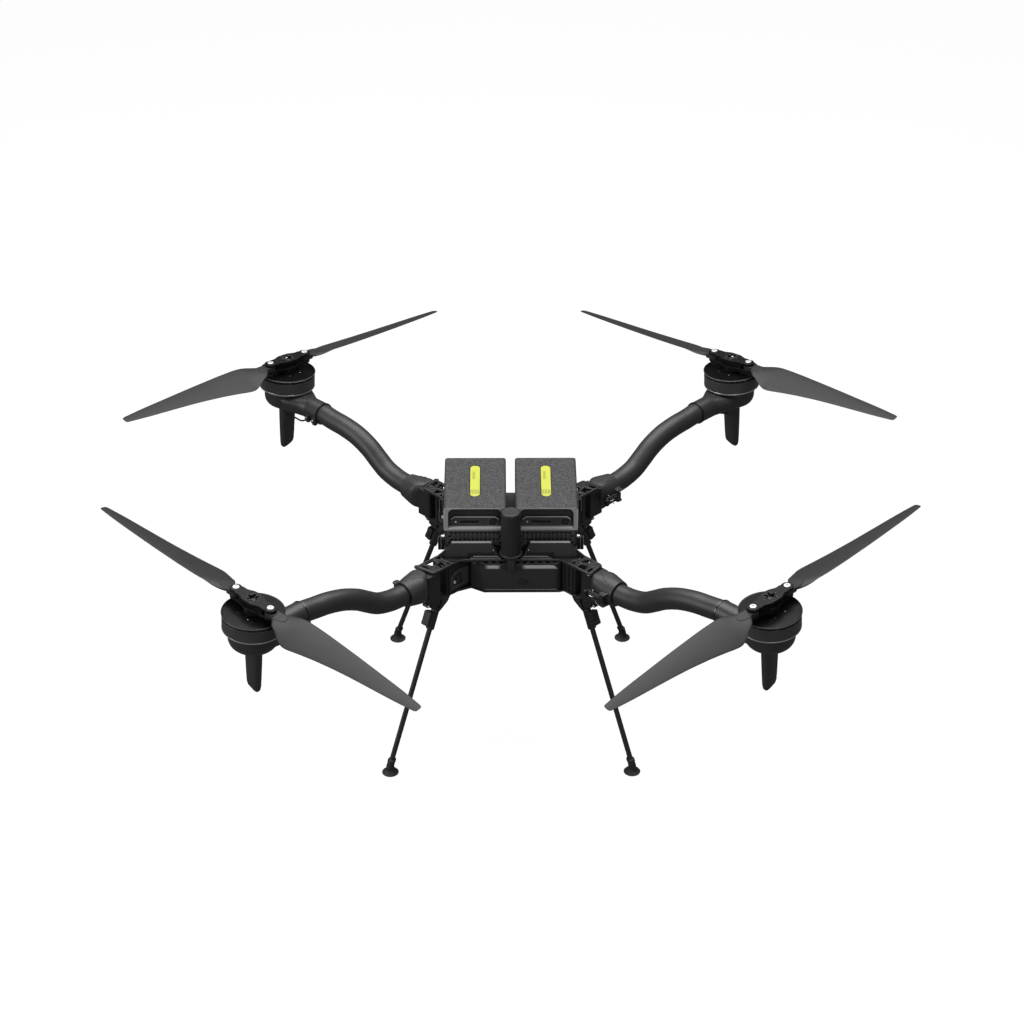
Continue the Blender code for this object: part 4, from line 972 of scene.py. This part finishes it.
# Battery tray: a black moulded bed screwed on the upper plate, with a sloped guard in front of
# each pack, upright clips beside them and a notch for the mast.
tray_bottom, tray_top = 0.4573, 0.4722
guard_black = moulded("guard_black", (0.027, 0.0275, 0.028), 0.46)
# Pale grey lines on the guard tops, tray front, clips and webs: painted edge highlights.
tray_edge_highlight = moulded("tray_edge_painted_highlight", (0.26, 0.262, 0.264), 0.42)
bed = [(-0.139, -0.122), (-0.030, -0.122), (-0.030, -0.102), (0.030, -0.102), (0.030, -0.122),
       (0.139, -0.122), (0.139, 0.112), (-0.139, 0.112)]
tray = plate(rounded(bed, 0.003, 3), tray_bottom, tray_top, nylon, edge=0.0010)
for side in (-1, 1):
    low = ((0.0285, -0.1280), (0.1375, -0.1280), (0.1375, -0.1120), (0.0285, -0.1120))
    high = ((0.0400, -0.1225), (0.1235, -0.1225), (0.1235, -0.1175), (0.0400, -0.1175))
    rings = [[(side * x, y, tray_bottom + 0.001) for x, y in low], [(side * x, y, 0.4655) for x, y in low],
             [(side * x, y, 0.4892) for x, y in high]]
    tray += loft(rings, guard_black)
    ridge = ((0.0408, -0.1203), (0.1227, -0.1203), (0.1227, -0.1175), (0.0408, -0.1175))
    levels = ((high, 0.4891), (ridge, 0.4912))
    tray += loft([[(side * x, y, level) for x, y in ring] for ring, level in levels], tray_edge_highlight)
    step = ((side * 0.034, -0.1290, 0.4585), (side * 0.090, -0.1272, 0.4715))
    low_corner = tuple(map(min, *step))
    high_corner = tuple(map(max, *step))
    tray += block(low_corner, high_corner, nylon, 0.0006)
    for level in (0.4615, 0.4572):
        inner, outer = (0.026, 0.078) if level > 0.46 else (0.022, 0.084)
        tray += sweep([(side * inner, -0.1305, level), (side * outer, -0.1305, level)], 0.0009, tray_edge_highlight, 8)
    tray += at(bolt(0.0018, 0.0012, steel), Matrix.Translation((side * 0.0365, -0.1262,
                                                                0.4745)) @ facing_front)
    for y in (-0.094, 0.060):
        clip = block((-0.0035, -0.0040, 0.4580), (0.0035, 0.0040, 0.4885), nylon, 0.0007)
        for x in (-0.0030, 0.0030):
            clip += sweep([(x, -0.0042, 0.4590), (x, -0.0042, 0.4878)], 0.0006, tray_edge_highlight, 8)
        inner = -0.0100 if side > 0 else 0.0
        clip += block((inner, -0.0040, 0.4580), (inner + 0.0100, 0.0040, 0.4860), nylon, 0.0007)
        tray += at(clip, Matrix.Translation((side * 0.1485, y, 0)))
    web = [(side * x, z) for x, z in ((0.1370, 0.4575), (0.1370, 0.4740), (0.1500, 0.4620), (0.1545, 0.4575))]
    tray += at(plate(rounded(web, 0.0008, 2), 0.1210, 0.1240, guard_black, edge=0.0005), facing_front)
    web_edge = [(side * x, -0.1242, z) for x, z in ((0.1375, 0.4738), (0.1498, 0.4622), (0.1540, 0.4580))]
    tray += sweep(web_edge, 0.0006, tray_edge_highlight, 8)
tray += block((-0.0075, -0.0980, tray_top - 0.001), (0.0075, 0.0100, tray_top + 0.0120), nylon, 0.0010)
for number in range(9):
    y = -0.0940 + number * 0.0115
    tray += block((-0.0070, y, tray_top + 0.0100), (0.0070, y + 0.0050, tray_top + 0.0150), nylon_highlight,
                  0.0009)
fit("pack_tray", tray, "chassis", nodes=("battery_tray",))

# Battery packs: grained grey shells around the cells, parted along each side, with a bezel painted
# lighter as a reflection of the front light, round a deep recess in front, a panel with a charge
# display, and a vent band below.
pack_half, pack_reach = 0.0650, 0.106
pack_bottom, pack_split, pack_top = 0.4725, 0.5095, 0.5640
leather = Finish("pack_grain", 0.56)
cells = leather.node("TexVoronoi", {"feature": "DISTANCE_TO_EDGE"},
                     {"Vector": leather.place(), "Scale": 215.0})
pebble = leather.between(cells, 0.02, 0.30)
pits, cloud = leather.noise(0.0042, detail=3.0), leather.noise(0.05, detail=3.0)
speckle = pebble * 0.45 + leather.between(pits, 0.40, 0.60) * 0.45 + cloud * 0.10
leather.colour(leather.mixed(speckle, (0.006, 0.0061, 0.0062), (0.082, 0.083, 0.084)))
leather.roughness(0.50 + pits * 0.14)
leather.relief(pebble + pits * 0.8, 0.00030)
leather = leather.material
# The bezel round the recess is painted a much lighter grey than the shell: painted reflection of the front
# light.
bezel_painted_reflection = moulded("bezel_painted_reflection", (0.330, 0.333, 0.336), 0.46, grain=0.0008)
# Pale grey for the painted highlights on the pack front; the status lamp dot uses it too.
highlight_and_lamp_grey = moulded("highlight_and_lamp_grey", (0.68, 0.682, 0.685), 0.46, grain=0.0008)
recess_black = moulded("recess_black", (0.0230, 0.0235, 0.0240), 0.44)
panel_grey = moulded("panel_grey", (0.038, 0.0385, 0.039), 0.40)
dial_ring = moulded("dial_ring", (0.090, 0.091, 0.093), 0.40)
vent_painted_shade = moulded("vent_painted_shade", (0.004, 0.004, 0.0042), 0.6)
display = moulded("display_glass", (0.0015, 0.0015, 0.0018), 0.16, depth=0.0)


def pack_ring(y, half, low, high, radius):
    """A rounded rectangle across the pack at one distance from front to back."""
    outline = rounded([(-half, low), (half, low), (half, high), (-half, high)], radius, 8)
    return [(p.x, y, p.y) for p in outline]


def pack_rings(steps):
    """Rings of the shell from the back to the bezel's inner edge: y, shrink."""
    rings = []
    for y, shrink in steps:
        rings.append(pack_ring(y, pack_half - shrink, pack_split + shrink * 0.3, pack_top - shrink,
                               [0.0015, 0.0015, 0.0055 - shrink, 0.0055 - shrink]))
    return rings


quarter_turn = math.pi / 2
back_round = [(pack_reach - 0.004 * (1 - math.cos(t)), 0.004 * (1 - math.sin(t)))
              for t in np.linspace(0, quarter_turn, 6)]
front_round = [(-pack_reach + 0.0014 * (1 - math.sin(t)), 0.0014 * (1 - math.cos(t)))
               for t in np.linspace(0, quarter_turn, 5)]
shell_rings = pack_rings(back_round) + pack_rings(front_round)
opening_half, opening_low, opening_high = 0.0550, 0.5155, 0.5606
mouth = []
for y, grow in ((0.0, 0.0006), (0.0005, 0.0001), (0.0012, 0.0), (0.0118, 0.0)):
    size = (opening_half + grow, opening_low - grow, opening_high + grow)
    mouth.append(pack_ring(-pack_reach + y, *size, [0.003, 0.003, 0.012, 0.012]))
back_cap = skin(shell_rings[0], [tuple(range(len(shell_rings[0])))], leather)
pack = loft(shell_rings[:-2], leather, closed=False) + back_cap
pack += loft([*shell_rings[-3:], mouth[0]], bezel_painted_reflection, closed=False)
pack += loft(mouth, recess_black, closed=False)
pack += skin(mouth[-1], [tuple(range(len(mouth[-1])))], recess_black)
panel = [(-0.0535, 0.5150), (0.0535, 0.5150), (0.0535, 0.5290), (0.0430, 0.5385), (-0.0430, 0.5385),
         (-0.0535, 0.5290)]
dial = Vector((0.038, 0.5265))
button_well = [dial + p for p in oval(0.0086, 0.0086, 40)]
screen = rounded(((-0.0310, 0.5235), (0.0090, 0.5235), (0.0090, 0.5302), (-0.0310, 0.5302)), 0.0012, 3)
panel_face = pack_reach - 0.0075
pack += at(plate(rounded(panel, 0.004, 5), pack_reach - 0.0125, panel_face, panel_grey,
                 [button_well, screen], edge=0.0007), facing_front)
pack += at(plate(screen, panel_face - 0.0030, panel_face - 0.0008, display, edge=0.0003), facing_front)
screen_frame = plate(inset(screen, -0.0008), panel_face - 0.0004, panel_face + 0.0003, dial_ring, [screen],
                     edge=0.0002, steps=1)
pack += at(screen_frame, facing_front)
# A pale line along the panel's top edge: painted highlight.
panel_top_highlight = ((-0.0500, 0.5325), (-0.0425, 0.5380), (0.0425, 0.5380), (0.0500, 0.5325))
pack += sweep([(x, -panel_face + 0.0002, z) for x, z in panel_top_highlight], 0.0007, highlight_and_lamp_grey, 8)
dial_edge = [(0.0100, -0.0002), (0.0100, 0.0004), (0.0094, 0.0007), (0.0088, 0.0004), (0.0088, -0.0030)]
dial_edge = [(radius, panel_face + height) for radius, height in dial_edge]
dial_seat = facing_front @ Matrix.Translation((*dial, 0))
pack += at(turned(dial_edge, dial_ring, 48, closed=False), dial_seat)
status_lamp = [(0.0020, panel_face - 0.0003), (0.0020, panel_face + 0.0005), (0.0012, panel_face + 0.0006)]
pack += at(turned(status_lamp, highlight_and_lamp_grey, 20), facing_front @ Matrix.Translation((-0.040, 0.5265, 0)))
lip = ((0.0004, 0.5100), (-0.0006, 0.5105), (-0.0006, 0.5135), (0.0006, 0.5152), (0.0100, 0.5152),
       (0.0100, 0.5100))
# The lip under the recess shares the bezel's lighter grey: painted reflection.
pack += loft([[(x, y - pack_reach, z) for y, z in lip] for x in (-0.0640, 0.0640)], bezel_painted_reflection)
# The pale ledge under the recess: painted highlight.
pack += block((-0.0545, -pack_reach - 0.0004, 0.5146), (0.0545, -pack_reach + 0.0080, 0.5164), highlight_and_lamp_grey,
              0.0005)
# Thin pale strips up both sides of the recess: painted highlights.
for x in (-pack_half + 0.0004, pack_half - 0.0016):
    low, high = (x, -pack_reach - 0.0002, 0.5150), (x + 0.0012, -pack_reach + 0.0006, 0.5590)
    pack += block(low, high, highlight_and_lamp_grey, 0.0003)
lower = [(-pack_half + 0.0012, -pack_reach + 0.0035), (pack_half - 0.0012, -pack_reach + 0.0035),
         (pack_half - 0.0012, pack_reach - 0.0012), (-pack_half + 0.0012, pack_reach - 0.0012)]
pack += plate(rounded(lower, 0.006, 5), pack_bottom, pack_split + 0.0002, recess_black, edge=0.0012)
vent_rib = moulded("vent_rib", (0.060, 0.061, 0.062), 0.42)
vents = []
for row in range(4):
    for column in range(13 - row % 2):
        spot = Vector((-0.0528 + 0.0088 * (column + 0.5 * (row % 2)), 0.4790 + 0.0078 * row))
        vents.append([spot + p for p in oval(0.0038, 0.0031, 6)])
band = rounded(((-0.0590, 0.4740), (0.0590, 0.4740), (0.0590, 0.5088), (-0.0590, 0.5088)), 0.002, 3)
pack += at(plate(band, pack_reach - 0.0034, pack_reach - 0.0008, vent_rib, vents, edge=0.0005, steps=1),
           facing_front)
# A near-black sheet behind the vent holes: painted shade.
pack += block((-0.0580, -pack_reach + 0.0030, 0.4750), (0.0580, -pack_reach + 0.0042, 0.5080), vent_painted_shade,
              0.0003)

# Pack labels: a yellow printed pill set in a shallow dark seat on top of each pack, with a few
# plain bars at one end.
label_yellow = Finish("label_yellow", 0.5)
across, along = (label_yellow.node("SeparateXYZ", sockets={0: label_yellow.place()},
                                   out=axis) for axis in "XY")
stripes = label_yellow.node("Math", {"operation": "SINE"}, {0: across * 1950})
rows = label_yellow.node("Math", {"operation": "SINE"}, {0: along * 1100})
bars = label_yellow.between(stripes, -0.3, 0.3) * label_yellow.between(rows, -0.8, -0.5)
bars = bars * label_yellow.between(along, -0.0500, -0.0485) * label_yellow.between(along, -0.0310, -0.0295,
                                                                                   1, 0)
lane = label_yellow.between(across, -0.0060, -0.0050) * label_yellow.between(across, -0.0010, 0.0, 1, 0)
faint = lane * label_yellow.between(along, 0.012, 0.014) * label_yellow.between(along, 0.044, 0.046, 1, 0)
paper = label_yellow.mixed(label_yellow.noise(0.0012), (0.50, 0.53, 0.058), (0.57, 0.60, 0.070))
label_yellow.colour(label_yellow.mixed(bars * 0.90 + faint * 0.40, paper, (0.075, 0.080, 0.02)))
label_yellow.relief(label_yellow.noise(0.0008), 0.00002)


def pill(half_width, half_length, centre=Vector((-0.0002, 0.0055))):
    """A long outline with half-round ends, centred on the label's place."""
    outline = [(x * half_width, y * half_length) for x, y in ((-1, -1), (1, -1), (1, 1), (-1, 1))]
    return [p + centre for p in rounded(outline, half_width * 0.98, 8)]


pack += plate(pill(0.0122, 0.0660), pack_top - 0.0006, pack_top + 0.00005, seal_black, edge=0.0003, steps=1)
label = plate(pill(0.0101, 0.0636), pack_top - 0.0004, pack_top + 0.00012, label_yellow.material,
              edge=0.0001, steps=1)
pack_mesh, label_mesh = knit("pack", pack), knit("pack_label", label)

# Power buttons: soft black caps in the panel, pressed to wake the pack.
button = turned([(0.0080, -0.0040), (0.0080, -0.0010), (0.0076, -0.0003), (0.0062, 0.0), (0.0040, -0.0003),
                 (0.0010, -0.0004)], rubber, 40)
button_mesh = knit("power_button", at(button, facing_front))
for side, x in (("left", -0.0745), ("right", 0.0745)):
    seat = Matrix.Translation((x, 0, 0))
    fit(f"{side}_pack", pack_mesh, f"battery_{side}", seat, (f"battery_{side}",))
    fit(f"{side}_pack_label", label_mesh, f"battery_{side}", seat)
    button_seat = Matrix.Translation((x + 0.038, -0.0977, 0.5265))
    fit(f"{side}_power_button", button_mesh, f"button_{side}", button_seat,
        (f"battery_button_{side}",))

# Mast: a closed aerial housing, a soft-edged black cylinder in a ring collar. Its bracket stands
# on the upper plate and runs down the nose of the bay.
mast_black = moulded("mast_black", (0.0135, 0.0137, 0.0140), 0.50, grain=0.0012, depth=0.00005)
mast_y, mast_bottom, mast_top, mast_radius = -0.130, 0.473, 0.5705, 0.0207
profile = [(mast_radius - 0.0008, mast_bottom), (mast_radius, mast_bottom + 0.0008),
           (mast_radius, mast_top - 0.0050)]
for step in range(1, 7):
    turn = math.pi / 2 * step / 6
    profile.append((mast_radius - 0.0050 * (1 - math.cos(turn)), mast_top - 0.0050 * (1 - math.sin(turn))))
profile += [(0.0120, mast_top - 0.0003), (0.0020, mast_top - 0.0005)]
fit("mast_housing", turned(profile, mast_black, 72), "chassis",
    Matrix.Translation((0, mast_y, 0)), ("mast",))
collar_top = mast_bottom - 0.0003
collar = [(0.0200, collar_top), (0.0226, collar_top), (0.0238, collar_top - 0.0007),
          (0.0240, collar_top - 0.0026), (0.0232, collar_top - 0.0046), (0.0180, collar_top - 0.0050)]
mast_foot = at(turned(collar, nylon_highlight, 72), Matrix.Translation((0, mast_y, 0)))
mast_foot += block((-0.0100, -0.1370, upper_top + 0.0003), (0.0100, -0.1160, collar_top - 0.003), nylon,
                   0.0010)
mast_foot += block((-0.0100, -0.1510, 0.4370), (0.0100, -0.1465, collar_top - 0.003), nylon, 0.0014)
mast_foot += block((-0.0070, -0.1516, 0.4400), (0.0070, -0.1500, 0.4640), nylon_highlight, 0.0006)
mast_foot += block((-0.0100, -0.1500, collar_top - 0.0080), (0.0100, -0.1340, collar_top - 0.0030), nylon,
                   0.0010)
fit("mast_foot", mast_foot, "chassis", nodes=("mast_bracket",))

# Studio: a seamless pale floor, broad soft lights overhead, at the left and in front, and a
# camera with a long lens.
floor_paint = Finish("studio_floor", 0.9)
floor_paint.colour(floor_paint.mixed(floor_paint.noise(0.9), (0.055, 0.055, 0.055), (0.065, 0.065, 0.065)))
floor_paint.shader.inputs["Emission Color"].default_value = (1, 1, 1, 1)
floor_paint.shader.inputs["Emission Strength"].default_value = 0.95
floor_mesh = bpy.data.meshes.new("studio_floor")
floor_half = 150.0
floor_corners = [(x * floor_half, y * floor_half, 0) for x, y in ((-1, -1), (1, -1), (1, 1), (-1, 1))]
floor_mesh.from_pydata(floor_corners, [], [(0, 1, 2, 3)])
floor_mesh.materials.append(floor_paint.material)
floor = bpy.data.objects.new("studio_floor", floor_mesh)
bpy.context.scene.collection.objects.link(floor)
floor.location.z = -0.0005
floor.visible_diffuse = floor.visible_glossy = False

studio = bpy.data.worlds.new("studio")
studio.use_nodes = True
studio.node_tree.nodes["Background"].inputs["Color"].default_value = (1, 1, 1, 1)
studio.node_tree.nodes["Background"].inputs["Strength"].default_value = 0.14
bpy.context.scene.world = studio
bpy.context.scene.view_settings.view_transform = "Standard"


def softbox(name, place, aim, size, power):
    light = bpy.data.objects.new(name, bpy.data.lights.new(name, "AREA"))
    light.data.shape, light.data.size, light.data.size_y, light.data.energy = "RECTANGLE", *size, power
    light.location = place
    light.rotation_euler = (Vector(aim) - Vector(place)).to_track_quat("-Z", "Y").to_euler()
    bpy.context.scene.collection.objects.link(light)


softbox("overhead", (0, 0.9, 3.4), (0, 0, 0.4), (3.6, 2.6), 150)
softbox("left_side", (-3.4, -1.4, 1.8), (0, 0, 0.45), (1.4, 1.8), 60)
softbox("front_fill", (1.2, -4.0, 2.4), (0, 0, 0.45), (2.0, 1.4), 40)

camera = bpy.data.objects.new("camera", bpy.data.cameras.new("camera"))
camera_target, camera_distance = Vector((0.003, 0, 0.491)), 5.688
elevation, azimuth = math.radians(30.9), math.radians(-0.3)
level_reach = math.cos(elevation)
back = Vector((math.sin(azimuth) * level_reach, -math.cos(azimuth) * level_reach, math.sin(elevation)))
camera.location = camera_target + back * camera_distance
camera.rotation_euler = (-back).to_track_quat("-Z", "Y").to_euler()
camera.data.lens, camera.data.sensor_width, camera.data.clip_end = 94.58, 36, 400
bpy.context.scene.collection.objects.link(camera)
bpy.context.scene.camera = camera
